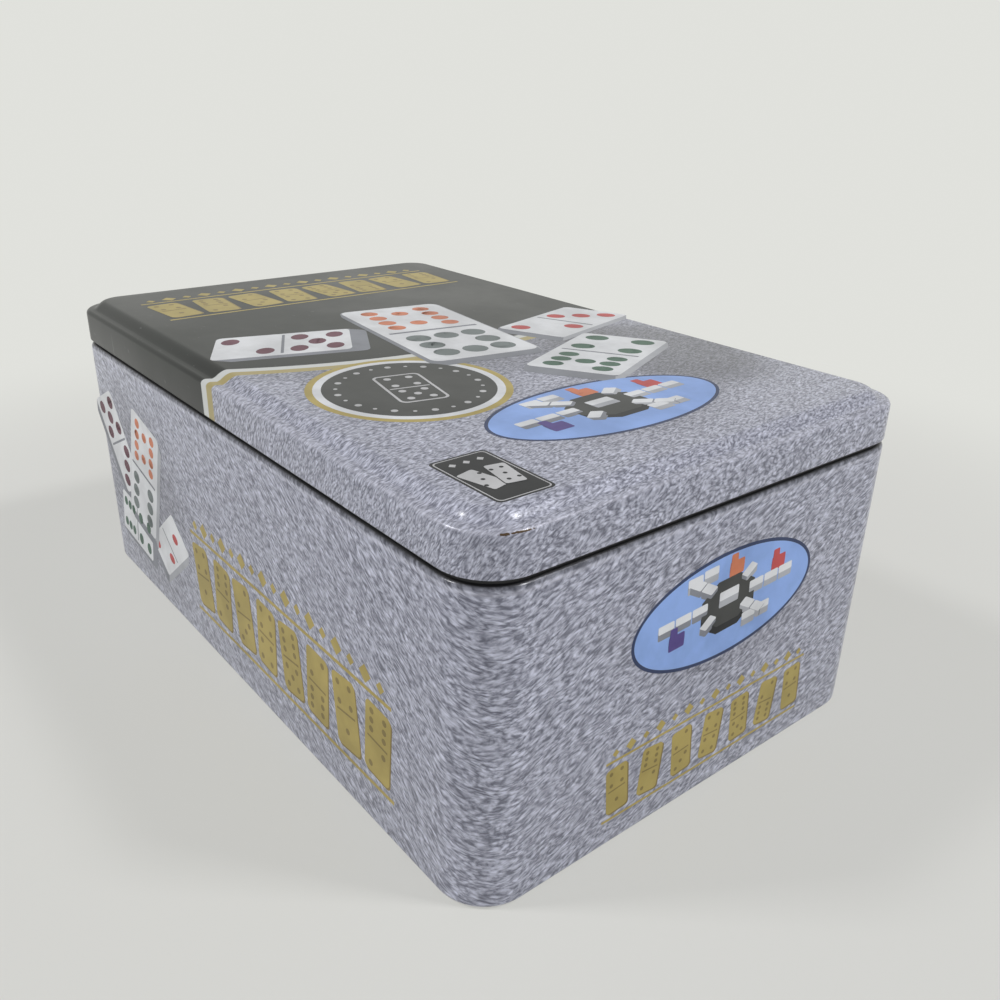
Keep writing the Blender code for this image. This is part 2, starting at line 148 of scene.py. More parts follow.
def use_group(tree, group, **inputs):
    return add(tree, "ShaderNodeGroup", {"node_tree": group}, **inputs).outputs


def new_material(name, roughness, metallic=0.0, coat=0.0, coat_roughness=0.1):
    """A material with its constant values on the shader, and its tree, shader and coordinates."""
    material = bpy.data.materials.new(name)
    material.use_nodes = True
    tree = material.node_tree
    shader = tree.nodes["Principled BSDF"]
    shader.inputs["Roughness"].default_value = roughness
    shader.inputs["Metallic"].default_value = metallic
    shader.inputs["Coat Weight"].default_value = coat
    shader.inputs["Coat Roughness"].default_value = coat_roughness
    place = add(tree, "ShaderNodeTexCoord").outputs["Object"]
    return material, tree, shader, place


def set_bump(tree, shader, height, depth):
    """Feeds a height between 0 and 1 into the shader's normal; depth is in metres."""
    bump = add(tree, "ShaderNodeBump", Height=height, Distance=depth, Strength=1.0)
    tree.links.new(bump.outputs[0], shader.inputs["Normal"])


# %% [markdown]
# ## Floor and light
# The tin stands on a plain pale floor in a pale, evenly lit room. Where the eye or a reflection
# looks past the tin, floor and room show one pale tone, so no horizon is seen, while the light
# that they throw stays plain and the lacquer keeps its own colour. Two soft lamps stand high to
# the left and the right of the tin. They light its two visible sides, leave the round corner
# between them a little darker, and put two bright spots on the slope of the lid.

# %% Floor
BACKDROP = (0.750, 0.755, 0.720, 1)
NEAR_TONE = (0.618, 0.618, 0.590, 1)
FLOOR_FADE = (0.15, 0.33)
PLAIN_SHARE = 0.65


def seen_rays(tree):
    """1 for what the eye sees straight, in a reflection or through something clear, else 0."""
    path = add(tree, "ShaderNodeLightPath").outputs
    straight_or_shiny = sum_of(tree, "MAXIMUM", path["Is Camera Ray"], path["Is Glossy Ray"])
    return sum_of(tree, "MAXIMUM", straight_or_shiny, path["Is Transmission Ray"])


def make_floor():
    bpy.ops.mesh.primitive_plane_add(size=6, location=(0, 0, 0))
    floor = bpy.context.object
    floor.name = "floor"
    material, tree, shader, place = new_material("pale_floor", 0.9)
    shader.inputs["Base Color"].default_value = (0.84, 0.84, 0.81, 1)
    far = stretch(tree, vectors(tree, "LENGTH", place, output="Value"), *FLOOR_FADE)
    glow = add(tree, "ShaderNodeEmission", Color=blend(tree, far, NEAR_TONE, BACKDROP))
    share = stretch(tree, far, 0.0, 1.0, PLAIN_SHARE, 1.0, "LINEAR")
    seen = sum_of(tree, "MULTIPLY", share, seen_rays(tree))
    mix = add(tree, "ShaderNodeMixShader", i0=seen, i1=shader.outputs[0], i2=glow.outputs[0])
    tree.links.new(mix.outputs[0], tree.nodes["Material Output"].inputs["Surface"])
    floor.data.materials.append(material)


make_floor()


# %% Surround and lamps
HORIZON_LIGHT = 0.95
LAMP_SIZE = 0.28
LAMP_AIM = Vector((0, 0, 0.04))


def make_surround():
    """Light that is strongest near the horizon, behind one pale tone for the eye."""
    world = bpy.data.worlds.new("pale_room")
    bpy.context.scene.world = world
    world.use_nodes = True
    tree = world.node_tree
    tree.nodes.clear()
    way = add(tree, "ShaderNodeTexCoord").outputs["Generated"]
    height = add(tree, "ShaderNodeSeparateXYZ", Vector=way).outputs[2]
    level = stretch(tree, height, 0.0, 1.0, HORIZON_LIGHT, 0.0, "LINEAR")
    light = add(tree, "ShaderNodeBackground", Color=(0.97, 0.98, 1.0, 1), Strength=level)
    wall = add(tree, "ShaderNodeBackground", Color=BACKDROP)
    mix = add(tree, "ShaderNodeMixShader", i0=seen_rays(tree), i1=light.outputs[0], i2=wall.outputs[0])
    add(tree, "ShaderNodeOutputWorld", Surface=mix.outputs[0])


def add_lamp(name, place, power):
    lamp = bpy.data.objects.new(name, bpy.data.lights.new(name, "AREA"))
    bpy.context.scene.collection.objects.link(lamp)
    lamp.data.shape = "SQUARE"
    lamp.data.size = LAMP_SIZE
    lamp.data.energy = power
    lamp.location = place
    lamp.rotation_euler = (LAMP_AIM - Vector(place)).to_track_quat("-Z", "Y").to_euler()


make_surround()
add_lamp("left_lamp", (-0.69, -1.12, 1.45), 14.0)
add_lamp("right_lamp", (0.99, 0.78, 1.53), 15.0)

# %% [markdown]
# ## Working by hand, in code
# Each piece starts as a primitive, is shaped in edit mode, and is closed again. These few
# helpers do what a hand does in between: pick faces or edges by where they are, apply a
# modifier, copy a piece, join pieces, and hand a finished piece over to its body. They are
# kept small, because they are used for every piece below.

# %% Small tools for modelling
TINY = 0.000001


def deselect():
    bpy.ops.object.select_all(action="DESELECT")


def open_piece(name):
    """Names the primitive that was just added and opens it in edit mode, all selected."""
    piece = bpy.context.object
    piece.name = name
    piece.data.name = name
    bpy.ops.object.mode_set(mode="EDIT")
    bpy.ops.mesh.select_mode(type="VERT")
    bpy.ops.mesh.select_all(action="SELECT")
    return piece


def apply_place():
    bpy.ops.object.transform_apply(location=True, rotation=True, scale=True)


def close_piece():
    """Leaves edit mode and fixes the piece's place in its mesh, with its object at the origin."""
    bpy.ops.object.mode_set(mode="OBJECT")
    apply_place()
    return bpy.context.object


def extrude(step):
    bpy.ops.mesh.extrude_region_move(TRANSFORM_OT_translate={"value": step})


def draw_line(name, points):
    """Extrudes one vertex from point to point, and leaves the piece open in edit mode."""
    deselect()
    bpy.ops.mesh.primitive_plane_add(size=MM, location=(0, 0, 0))
    open_piece(name)
    bpy.ops.mesh.merge(type="CENTER")
    bpy.ops.transform.translate(value=points[0])
    for start, end in zip(points, points[1:]):
        extrude(end - start)


def weld():
    bpy.ops.mesh.select_all(action="SELECT")
    bpy.ops.mesh.remove_doubles(threshold=TINY)


def face_outwards():
    bpy.ops.mesh.select_all(action="SELECT")
    bpy.ops.mesh.normals_make_consistent(inside=False)


def pick(kind, test):
    """Selects faces by (centre, normal), or edges by their two ends, that pass a test."""
    bpy.ops.mesh.select_mode(type=kind)
    bpy.ops.mesh.select_all(action="DESELECT")
    mesh = bmesh.from_edit_mesh(bpy.context.object.data)
    if kind == "FACE":
        for face in mesh.faces:
            face.select_set(bool(test(face.calc_center_median(), face.normal)))
    else:
        for edge in mesh.edges:
            edge.select_set(bool(test(edge.verts[0].co, edge.verts[1].co)))
    mesh.select_flush_mode()
    bmesh.update_edit_mesh(bpy.context.object.data)


def apply_modifier(piece, kind, **settings):
    bpy.context.view_layer.objects.active = piece
    modifier = piece.modifiers.new(kind.lower(), kind)
    for key, value in settings.items():
        setattr(modifier, key, value)
    bpy.ops.object.modifier_apply(modifier=modifier.name)


def cut(piece, tool, operation="DIFFERENCE"):
    """Cuts a piece with a tool, or joins the tool to it, and throws the tool away."""
    settings = {"object": tool, "operation": operation, "solver": "EXACT", "material_mode": "TRANSFER"}
    apply_modifier(piece, "BOOLEAN", **settings)
    bpy.data.objects.remove(tool)


def copy_piece(piece, name, place):
    """A copy with a mesh of its own, moved by a matrix."""
    made = bpy.data.objects.new(name, piece.data.copy())
    bpy.context.scene.collection.objects.link(made)
    made.data.name = name
    made.data.transform(place)
    return made


def roll_edges(piece, width, segments, angle):
    """Bevels all edges of a piece that are sharper than an angle; the width is in millimetres."""
    settings = {"limit_method": "ANGLE", "angle_limit": angle}
    apply_modifier(piece, "BEVEL", width=width * MM, segments=segments, **settings)


def paint(piece, *materials):
    piece.data.materials.clear()
    for material in materials:
        piece.data.materials.append(material)


def join_pieces(pieces, name):
    deselect()
    for piece in pieces:
        piece.select_set(True)
    bpy.context.view_layer.objects.active = pieces[0]
    bpy.ops.object.join()
    bpy.context.object.name = name
    bpy.context.object.data.name = name
    return bpy.context.object


def hand_over(piece, body, nodes, angle=32):
    """Smooths a finished piece and lets it ride on its body in place of its solids."""
    deselect()
    piece.select_set(True)
    bpy.context.view_layer.objects.active = piece
    bpy.ops.object.shade_smooth_by_angle(angle=math.radians(angle))
    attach(piece, body)
    if nodes:
        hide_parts(*nodes)
    triangles = sum(len(face.vertices) - 2 for face in piece.data.polygons)
    print(piece.name, triangles, "triangles")
    return piece


# %% [markdown]
# ## Effects that several finishes share
# The printed leather grain is a field of short strokes with dark creases between them. It is
# made from a pattern in space whose cells are flat and stand across one slanting line. Each
# face of the tin cuts these cells into strokes, and the strokes run unbroken round the corners
# and change direction from face to face, as they do on the real tin. Scuffs are thin, far-apart
# streaks. Mottle is the faint unevenness of any large surface. A print screen is the row of
# fine dots that offset printing leaves. As groups they can be set anew in each finish.

# %% Group: leather grain
def make_grain():
    inputs = [("Vector", "Vector", None), ("Turn", "Vector", None), ("Cell", "Float", 0.001)]
    group, given, out = new_group("leather_grain", inputs, [("Height", "Float"), ("Shade", "Float")])
    flat = {"vector_type": "TEXTURE"}
    across = add(group, "ShaderNodeMapping", flat, Vector=given[0], Rotation=given[1], Scale=(1, 3.2, 3.2))
    cells = scale_vector(group, across.outputs[0], sum_of(group, "DIVIDE", 1.0, given[2]))
    drift = add(group, "ShaderNodeTexNoise", Vector=cells, Scale=0.16, Detail=1.0).outputs["Color"]
    sway = {"operation": "MULTIPLY_ADD"}
    bent = add(group, "ShaderNodeVectorMath", sway, i0=drift, i1=(4.5, 3.0, 3.0), i2=cells).outputs[0]
    edge = add(group, "ShaderNodeTexVoronoi", {"feature": "DISTANCE_TO_EDGE"}, Vector=bent, Scale=0.9)
    dome = stretch(group, edge.outputs["Distance"], 0.0, 0.34)
    ripple = stretch(group, noise(group, bent, 1.0, 3.0, Roughness=0.55), 0.34, 0.72)
    domes, ripples = sum_of(group, "MULTIPLY", dome, 0.30), sum_of(group, "MULTIPLY", ripple, 0.70)
    height = sum_of(group, "ADD", domes, ripples)
    group.links.new(height, out[0])
    tone = line_of(group, noise(group, cells, 0.35, 3.0), 0.22, -0.11)
    group.links.new(sum_of(group, "ADD", height, tone, clamp=True), out[1])
    return group


def leaning(direction):
    """The turn that stands flat cells across a direction."""
    return Vector((1, 0, 0)).rotation_difference(Vector(direction)).to_euler()


leather_grain = make_grain()
print("group", leather_grain.name)

# %% Groups: scuffs, mottle and print screen
def make_scuffs():
    inputs = [("Vector", "Vector", None), ("Size", "Float", 0.01)]
    group, given, out = new_group("scuffs", inputs, [("Mask", "Float")])
    size = sum_of(group, "DIVIDE", 1.0, given[1])
    total = None
    for turn, seed in ((0.5, 3.1), (2.2, 8.7)):
        thin = {"Rotation": (turn * 0.4, turn * 0.7, turn), "Scale": (9, 0.35, 0.35)}
        streak = add(group, "ShaderNodeMapping", {"vector_type": "TEXTURE"}, Vector=given[0], **thin)
        scaled = scale_vector(group, streak.outputs[0], size)
        in_4d = {"noise_dimensions": "4D"}
        spread = add(group, "ShaderNodeTexNoise", in_4d, Vector=scaled, W=seed, Scale=4.0)
        line = stretch(group, spread.outputs[0], 0.70, 0.76)
        total = line if total is None else sum_of(group, "MAXIMUM", total, line)
    group.links.new(total, out[0])
    return group


def make_mottle():
    inputs = [("Vector", "Vector", None), ("Size", "Float", 0.02)]
    group, given, out = new_group("mottle", inputs, [("Value", "Float")])
    size = sum_of(group, "DIVIDE", 1.0, given[1])
    cloud = noise(group, given[0], size, 4.0, Roughness=0.55)
    group.links.new(stretch(group, cloud, 0.3, 0.7), out[0])
    return group


def make_screen():
    inputs = [("Vector", "Vector", None), ("Pitch", "Float", 0.0002)]
    group, given, out = new_group("print_screen", inputs, [("Dots", "Float")])
    turned = add(group, "ShaderNodeMapping", Vector=given[0], Rotation=(0.31, 0.27, 0.5))
    pitch = sum_of(group, "DIVIDE", 1.0, given[1])
    cells = add(group, "ShaderNodeTexVoronoi", Vector=turned.outputs[0], Scale=pitch, Randomness=0.0)
    group.links.new(stretch(group, cells.outputs["Distance"], 0.25, 0.6), out[0])
    return group


scuffs = make_scuffs()
mottle = make_mottle()
print_screen = make_screen()
print("groups", [group.name for group in (scuffs, mottle, print_screen)])

# %% [markdown]
# ## Lacquer of the tin
# The tin is printed flat before it is pressed: a silver-grey leather picture, and on the lid
# a charcoal field whose front edge is a wide arc with a pale and a gold line. All of it lies
# under one clear varnish. The masks are plain sums of the place on the tin, because a printed
# field has sharp edges. The grain is kept off the charcoal, which is smooth on the real tin.

# %% Places of the printed field
FIELD_CENTRE = (-0.120, 0.004)
FIELD_RADIUS = 0.1308
PALE_LINE = 0.0024
GOLD_LINE = 0.0026
LINE_SOFTNESS = 0.00012


def field_masks(tree, place):
    """Masks of the charcoal field, of the pale line with it, and of the gold line with both."""
    flat_place = vectors(tree, "MULTIPLY", place, (1, 1, 0))
    reach = vectors(tree, "DISTANCE", flat_place, (*FIELD_CENTRE, 0), "Value")
    edges = [FIELD_RADIUS, FIELD_RADIUS + PALE_LINE, FIELD_RADIUS + PALE_LINE + GOLD_LINE]
    return [stretch(tree, reach, edge - LINE_SOFTNESS, edge + LINE_SOFTNESS, 1.0, 0.0) for edge in edges]


def oval_reach(tree, place, centre, size):
    """How far a place lies from a centre, in half widths of an oval."""
    moved = vectors(tree, "SUBTRACT", place, centre)
    return vectors(tree, "LENGTH", vectors(tree, "DIVIDE", moved, size), output="Value")


def soft_spot(tree, place, centre, size, strength):
    """A soft dark patch, such as the shadow under a printed tile, from 1 outside it downwards."""
    return stretch(tree, oval_reach(tree, place, centre, size), 0.55, 1.1, 1.0 - strength, 1.0)


# %% Lacquer with the leather picture
CREASE = (0.130, 0.135, 0.178, 1)
SILVER = (0.700, 0.715, 0.850, 1)
CHARCOAL = (0.013, 0.015, 0.014, 1)
PALE_INK = (0.60, 0.61, 0.60, 1)
GOLD_INK = (0.38, 0.31, 0.12, 1)
VARNISH = 0.50


def at_height(tree, place, height, reach):
    """A mask that is 1 at a height and fades out over a reach above and below it."""
    z = add(tree, "ShaderNodeSeparateXYZ", Vector=place).outputs[2]
    away = sum_of(tree, "ABSOLUTE", sum_of(tree, "SUBTRACT", z, height))
    return stretch(tree, away, 0.0, reach, 1.0, 0.0)


def worn_spot(tree, place, centre, size):
    """A small chipped place, ragged at its edge."""
    ragged = noise(tree, place, 2600.0, 3.0)
    reach = sum_of(tree, "ADD", oval_reach(tree, place, centre, size), ragged)
    return stretch(tree, reach, 1.10, 1.25, 1.0, 0.0)


def make_lacquer(name, lean, cell, field, shadows, highlight_lines, chips):
    material, tree, shader, place = new_material(name, 0.36, 0.10, VARNISH, 0.20)
    shader.inputs["Specular IOR Level"].default_value = 0.08
    grain = use_group(tree, leather_grain, Vector=place, Turn=leaning(lean), Cell=cell)
    cloud = use_group(tree, mottle, Vector=place, Size=0.03)[0]
    colour = blend(tree, grain[1], CREASE, SILVER)
    tinted = blend(tree, sum_of(tree, "MULTIPLY", cloud, 0.12), colour, (0.36, 0.36, 0.42, 1))
    height = grain[0]
    # Painted highlight: a pale line along each bend of the sheet, where the grain is also flattened.
    for level, reach in highlight_lines:
        painted_highlight = sum_of(tree, "MULTIPLY", at_height(tree, place, level, reach), 0.30)
        tinted = blend(tree, painted_highlight, tinted, (0.60, 0.60, 0.68, 1))
        height = sum_of(tree, "MULTIPLY", height, sum_of(tree, "SUBTRACT", 1.0, painted_highlight))
    for centre, size, strength in shadows:
        dark = soft_spot(tree, place, centre, size, strength)
        tinted = scale_vector(tree, tinted, dark)
    if field:
        inside, pale, gold = field_masks(tree, place)
        tinted = blend(tree, gold, tinted, GOLD_INK)
        tinted = blend(tree, pale, tinted, PALE_INK)
        tinted = blend(tree, inside, tinted, blend(tree, cloud, CHARCOAL, (0.021, 0.024, 0.022, 1)))
        height = sum_of(tree, "MULTIPLY", height, sum_of(tree, "SUBTRACT", 1.0, gold))
        tree.links.new(line_of(tree, inside, -0.24, VARNISH), shader.inputs["Coat Weight"])
    streaks = use_group(tree, scuffs, Vector=place, Size=0.012)[0]
    shown = blend(tree, sum_of(tree, "MULTIPLY", streaks, 0.10), tinted, (0.62, 0.62, 0.64, 1))
    for centre, size in chips:
        shown = blend(tree, worn_spot(tree, place, centre, size), shown, (0.075, 0.045, 0.022, 1))
    tree.links.new(shown, shader.inputs["Base Color"])
    tree.links.new(line_of(tree, cloud, 0.10, 0.28), shader.inputs["Roughness"])
    set_bump(tree, shader, height, 0.000055)
    return material


# %% [markdown]
# ## Bare metal, dark neck, plastics and paper
# Inside, the tin is bare tinplate, which is bright, faintly brushed and lightly scuffed. The
# neck under the lid is near black, which also serves as painted shade in the gap under the lid.
# The tray is thermoformed sheet with a satin skin, the hub and the markers are moulded and
# glossier, and the tiles are polished resin with a little depth. Each is a plain colour that is
# broken up by mottle, scuffs and a fine surface bump at its own size.

# %% Tinplate and dark neck
def make_tinplate():
    material, tree, shader, place = new_material("tinplate", 0.28, 1.0)
    cloud = use_group(tree, mottle, Vector=place, Size=0.012)[0]
    streaks = use_group(tree, scuffs, Vector=place, Size=0.01)[0]
    colour = blend(tree, cloud, (0.60, 0.60, 0.58, 1), (0.70, 0.70, 0.68, 1))
    tree.links.new(blend(tree, streaks, colour, (0.42, 0.42, 0.41, 1)), shader.inputs["Base Color"])
    brushed = add(tree, "ShaderNodeMapping", Vector=place, Scale=(40, 40, 6000))
    lines = noise(tree, brushed.outputs[0], 1.0, 2.0)
    tree.links.new(stretch(tree, lines, 0.3, 0.7, 0.22, 0.38), shader.inputs["Roughness"])
    set_bump(tree, shader, lines, 0.000004)
    return material


def make_plastic(name, colour, roughness, grain_size, grain_depth, lighter=1.25, coat=0.0):
    """Moulded plastic: a plain colour with faint mottle, a fine skin and a few scuffs."""
    material, tree, shader, place = new_material(name, roughness, 0.0, coat, 0.08)
    cloud = use_group(tree, mottle, Vector=place, Size=0.008)[0]
    streaks = use_group(tree, scuffs, Vector=place, Size=0.006)[0]
    pale = (*[min(1.0, part * lighter + 0.004) for part in colour], 1)
    mixed = blend(tree, sum_of(tree, "MULTIPLY", cloud, 0.5), (*colour, 1), pale)
    scuffed = (*[part * 0.7 + 0.05 for part in colour], 1)
    shown = blend(tree, sum_of(tree, "MULTIPLY", streaks, 0.35), mixed, scuffed)
    tree.links.new(shown, shader.inputs["Base Color"])
    low, high = roughness * 0.85, roughness * 1.2
    tree.links.new(stretch(tree, cloud, 0.0, 1.0, low, high, "LINEAR"), shader.inputs["Roughness"])
    set_bump(tree, shader, noise(tree, place, 1 / grain_size, 3.0), grain_depth)
    return material


tinplate = make_tinplate()
# Near-black neck, which also serves as painted shade in the gap under the lid.
dark_neck_gap_shade = make_plastic("dark_neck_gap_shade", (0.012, 0.012, 0.014), 0.45, 0.0006, 0.00001)
print("metal finishes", tinplate.name, dark_neck_gap_shade.name)

# %% [markdown]
# ## Round-cornered pressings
# Lid, wall and base all follow one outline: a rectangle with round corners. A press shop
# describes such a part by its cross-section, so that is drawn first, point by point, as
# (inset from the outline, height) in millimetres. Spinning it round each corner and
# extruding it along each side closes the ring. Insets stay true round the corners, which
# scaling a box would not give.

# %% The tin's outline, and a sweep round it
lid_low, lid_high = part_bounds("lid")
TIN_LENGTH = lid_high.x - lid_low.x
TIN_WIDTH = lid_high.y - lid_low.y
CORNER = 11 * MM
CORNER_STEPS = 14
QUARTER = math.pi / 2


def draw_profile(name, sections, closed):
    """Draws a cross-section at the end of a long side; its points are in millimetres."""
    start_y = TIN_WIDTH / 2 - CORNER
    points = [Vector((TIN_LENGTH / 2 - inset * MM, start_y, height * MM)) for inset, height in sections]
    if closed:
        points.append(points[0])
    draw_line(name, points)
    weld()


def sweep_round():
    """Spins the drawn profile round the four corners and extrudes it along the four sides."""
    long_run = TIN_LENGTH - 2 * CORNER
    short_run = TIN_WIDTH - 2 * CORNER
    corners = [(1, 1), (-1, 1), (-1, -1), (1, -1)]
    runs = [(-long_run, 0, 0), (0, -short_run, 0), (long_run, 0, 0), (0, short_run, 0)]
    for (side_x, side_y), run in zip(corners, runs):
        centre = (side_x * long_run / 2, side_y * short_run / 2, 0)
        bpy.ops.mesh.spin(steps=CORNER_STEPS, angle=-QUARTER, center=centre, axis=(0, 0, 1))
        extrude(run)
    weld()


def bend(inset, height, radius, start, end, steps=6):
    """Points of a bend in the sheet; its angles run from outwards at 0 to upwards at 90."""
    points = []
    for step in range(steps + 1):
        angle = math.radians(start + (end - start) * step / steps)
        points.append((inset - radius * math.cos(angle), height + radius * math.sin(angle)))
    return points


def inset_of(point):
    """How far a point lies inside the tin's outline, in millimetres."""
    past_x = abs(point.x) - (TIN_LENGTH / 2 - CORNER)
    past_y = abs(point.y) - (TIN_WIDTH / 2 - CORNER)
    if past_x > 0 and past_y > 0:
        return (CORNER - math.hypot(past_x, past_y)) / MM
    return min(TIN_LENGTH / 2 - abs(point.x), TIN_WIDTH / 2 - abs(point.y)) / MM


def cap_ring(height):
    """Fills the open ring of edges at one height, in millimetres."""

    def on_ring(point):
        return abs(point.z - height * MM) < 0.02 * MM and inset_of(point) > 5

    pick("EDGE", lambda a, b: on_ring(a) and on_ring(b))
    bpy.ops.mesh.edge_face_add()


# %% [markdown]
# ## Lid
# The lid is one pressing. From the middle outwards there is a flat panel, a rounded slope down
# to a narrow ledge, a tight bend, a short skirt, and a hem that is folded in so that no sharp
# edge is left. Its outside carries the print and its inside is bare. The outer skin is drawn
# a twentieth of a millimetre inside the solid, which leaves room for the films of ink.

# %% Lid cross-section
SKIN = 0.05
TOP = 79.5 - SKIN
LEDGE = 77.5 - SKIN
PANEL_INSET = 5.5
SLOPE_RUN = 3.0
SLOPE_RISE = 2.0
SLOPE_STEPS = 8
SHEET = 0.4
BEND = 1.1


def panel_slope(drop, draw_in):
    """From the panel's edge down to the ledge: a quarter wave with a small fillet at its foot."""
    points = []
    for step in range(SLOPE_STEPS + 1):
        share = 1 - step / SLOPE_STEPS
        rise = SLOPE_RISE * math.sin(share * QUARTER)
        points.append((PANEL_INSET - SLOPE_RUN * (1 - share) + draw_in, LEDGE - drop + rise))
    foot_inset, foot_height = points.pop()
    return points + [(foot_inset - 0.02, foot_height + 0.12), (foot_inset - 0.25, foot_height)]


outside = panel_slope(0, 0) + bend(SKIN + BEND, LEDGE - BEND, BEND, 90, 0)
hem = bend(0.425, 69.275, 0.375, 0, -180, 8)
inside = [(0.8, 71.9), (0.74, 72.15), (SKIN + SHEET, 72.35)]
inside += bend(SKIN + BEND, LEDGE - BEND, BEND - SHEET, 0, 90)
underside = panel_slope(SHEET, SHEET)
underside.reverse()

# %% Lid
draw_profile("lid_shell", outside + hem + inside + underside, closed=False)
sweep_round()
cap_ring(TOP)
cap_ring(TOP - SHEET)
face_outwards()
lid_shell = close_piece()

LID_SHADOWS = [
    ((-0.004, -0.028, 0.0795), (0.026, 0.032, 0.02), 0.35),
    ((0.010, 0.012, 0.0795), (0.036, 0.034, 0.02), 0.40),
    ((0.041, 0.038, 0.0795), (0.034, 0.026, 0.02), 0.55),
    ((0.031, -0.029, 0.0795), (0.026, 0.026, 0.02), 0.25),
    ((0.066, -0.001, 0.0795), (0.019, 0.034, 0.02), 0.22),
]
# Painted highlight along the bend at the ledge's outer edge.
LID_HIGHLIGHT_LINES = [(0.0771, 0.0005)]
LID_CHIPS = [
    ((0.0937, -0.0540, 0.0769), (0.0010, 0.0016, 0.00034)),
    ((0.0945, -0.0515, 0.0770), (0.0012, 0.0040, 0.00022)),
]
LID_GRAIN = ((1, 0.2, -0.6), 0.00040)
lid_lacquer = make_lacquer("lid_lacquer", *LID_GRAIN, True, LID_SHADOWS, LID_HIGHLIGHT_LINES, LID_CHIPS)
paint(lid_shell, lid_lacquer, tinplate)
for face in lid_shell.data.polygons:
    outer = face.normal.z > 0.05 or (inset_of(face.center) < 0.25 and face.normal.z > -0.9)
    face.material_index = 0 if outer else 1
hand_over(lid_shell, "lid", ["lid"])

# %% [markdown]
# ## Wall
# The wall is a strip bent round the outline. At the foot it turns in to a narrow flange that
# carries the base. Near the top it steps inwards over a small rounded shoulder, so that the
# lid's skirt ends flush with it and only a dark line shows between the two. The rim is folded
# in as the lid's hem is. It is drawn as one closed cross-section and swept in the same way.

# %% Wall of the tin
FOOT_BEND = 1.2
NECK_LOW = 67.9
outside = bend(SKIN + FOOT_BEND, FOOT_BEND, FOOT_BEND, -90, 0)
outside += bend(SKIN + BEND, NECK_LOW - BEND, BEND, 0, 90)
rim = bend(1.55, 76.4, 0.4, 0, 180, 8)
inside = [(1.95, 74.3), (1.88, 74.0), (1.55, 73.6), (1.55, 67.55)]
inside += bend(SKIN + BEND, NECK_LOW - BEND, BEND - SHEET, 90, 0)
foot = bend(SKIN + FOOT_BEND, FOOT_BEND, FOOT_BEND - SHEET, 0, -90)
foot += [(4.55, 0.4), (4.65, 0.3), (4.65, 0.1), (4.55, 0.0)]
draw_profile("tin_wall", outside + rim + inside + foot, closed=True)
sweep_round()
face_outwards()
tin_wall = close_piece()

WALL_SHADOWS = [
    ((-0.058, -0.060, 0.031), (0.036, 0.02, 0.032), 0.30),
    ((0.058, 0.060, 0.031), (0.036, 0.02, 0.032), 0.30),
    ((0.095, 0.004, 0.044), (0.02, 0.032, 0.018), 0.18),
    ((-0.095, -0.004, 0.044), (0.02, 0.032, 0.018), 0.18),
    # The last two entries are painted shade on the shoulder just under the lid's edge.
    ((0, 0, 0.0684), (5, 5, 0.0010), 0.85),
    ((0, 0, 0.0678), (5, 5, 0.0010), 0.45),
]
# Painted highlight along the shoulder's bend, just below the band of painted shade.
WALL_HIGHLIGHT_LINES = [(0.0665, 0.0007)]
WALL_GRAIN = ((0.65, -0.35, 1), 0.00058)
wall_lacquer = make_lacquer("wall_lacquer", *WALL_GRAIN, False, WALL_SHADOWS, WALL_HIGHLIGHT_LINES, [])
paint(tin_wall, wall_lacquer, tinplate, dark_neck_gap_shade)
for face in tin_wall.data.polygons:
    depth = inset_of(face.center)
    height = face.center.z / MM
    on_neck = height > 67.8 and depth < 1.3
    printed = depth < 0.25 or (depth < 1.2 and (height < 0.35 or height > 67.3))
    face.material_index = 2 if on_neck else 0 if printed else 1
hand_over(tin_wall, "tin", ["tin_body"])

# %% [markdown]
# ## Base
# The base is a panel that is dished upwards a little, so that the tin stands on its edge. From
# below it is bare metal. It is drawn and swept like the lid, and its middle is filled.

# %% Base panel
UPPER_FACE, LOWER_FACE = 2.98, 2.58
upper = [(1.55, 1.08), (5.0, 1.08), (5.35, 1.15), (6.35, 2.85), (6.75, UPPER_FACE)]
lower = [(6.95, LOWER_FACE), (6.6, 2.45), (5.6, 0.78), (5.3, 0.72), (1.55, 0.72)]
draw_profile("base_panel", upper, closed=False)
sweep_round()
cap_ring(UPPER_FACE)
bpy.ops.object.mode_set(mode="OBJECT")
base_panel = bpy.context.object
draw_profile("base_under", lower, closed=False)
sweep_round()
cap_ring(LOWER_FACE)
base_under = close_piece()
base_panel = join_pieces([base_panel, base_under], "base_panel")
open_piece("base_panel")
pick("EDGE", lambda a, b: inset_of(a) < 1.6 and inset_of(b) < 1.6)
bpy.ops.mesh.bridge_edge_loops()
face_outwards()
base_panel = close_piece()
paint(base_panel, tinplate)
hand_over(base_panel, "tin", ["tin_base"])

# %% [markdown]
# ## Tray
# The tray is one sheet of black plastic, drawn down over a mould: a flat shelf all round, a lip
# that reaches the tin, and one deep pocket for the tiles. Solid blocks with round corners are
# joined and cut, and the sharp edges are then rolled a little, as a vacuum-formed sheet never
# has a sharp edge. A curve swept round would not do, since shelf and pocket differ in width.

# %% Blocks with round corners
def round_block(name, low, high, radius, edge=0.0, corner_steps=6, edge_steps=2):
    """A block between two corners, with round vertical edges and a small round on the others."""
    low, high = Vector(low), Vector(high)
    deselect()
    bpy.ops.mesh.primitive_cube_add(size=1, location=(low + high) / 2)
    bpy.context.object.scale = high - low
    apply_place()
    open_piece(name)
    pick("EDGE", lambda a, b: abs(a.x - b.x) < TINY and abs(a.y - b.y) < TINY)
    bpy.ops.mesh.bevel(offset=radius, segments=corner_steps, affect="EDGES")
    if edge:
        ends = (low.z, high.z)
        pick("EDGE", lambda a, b: abs(a.z - b.z) < TINY and min(abs(a.z - end) for end in ends) < TINY)
        bpy.ops.mesh.bevel(offset=edge, segments=edge_steps, affect="EDGES")
    return close_piece()


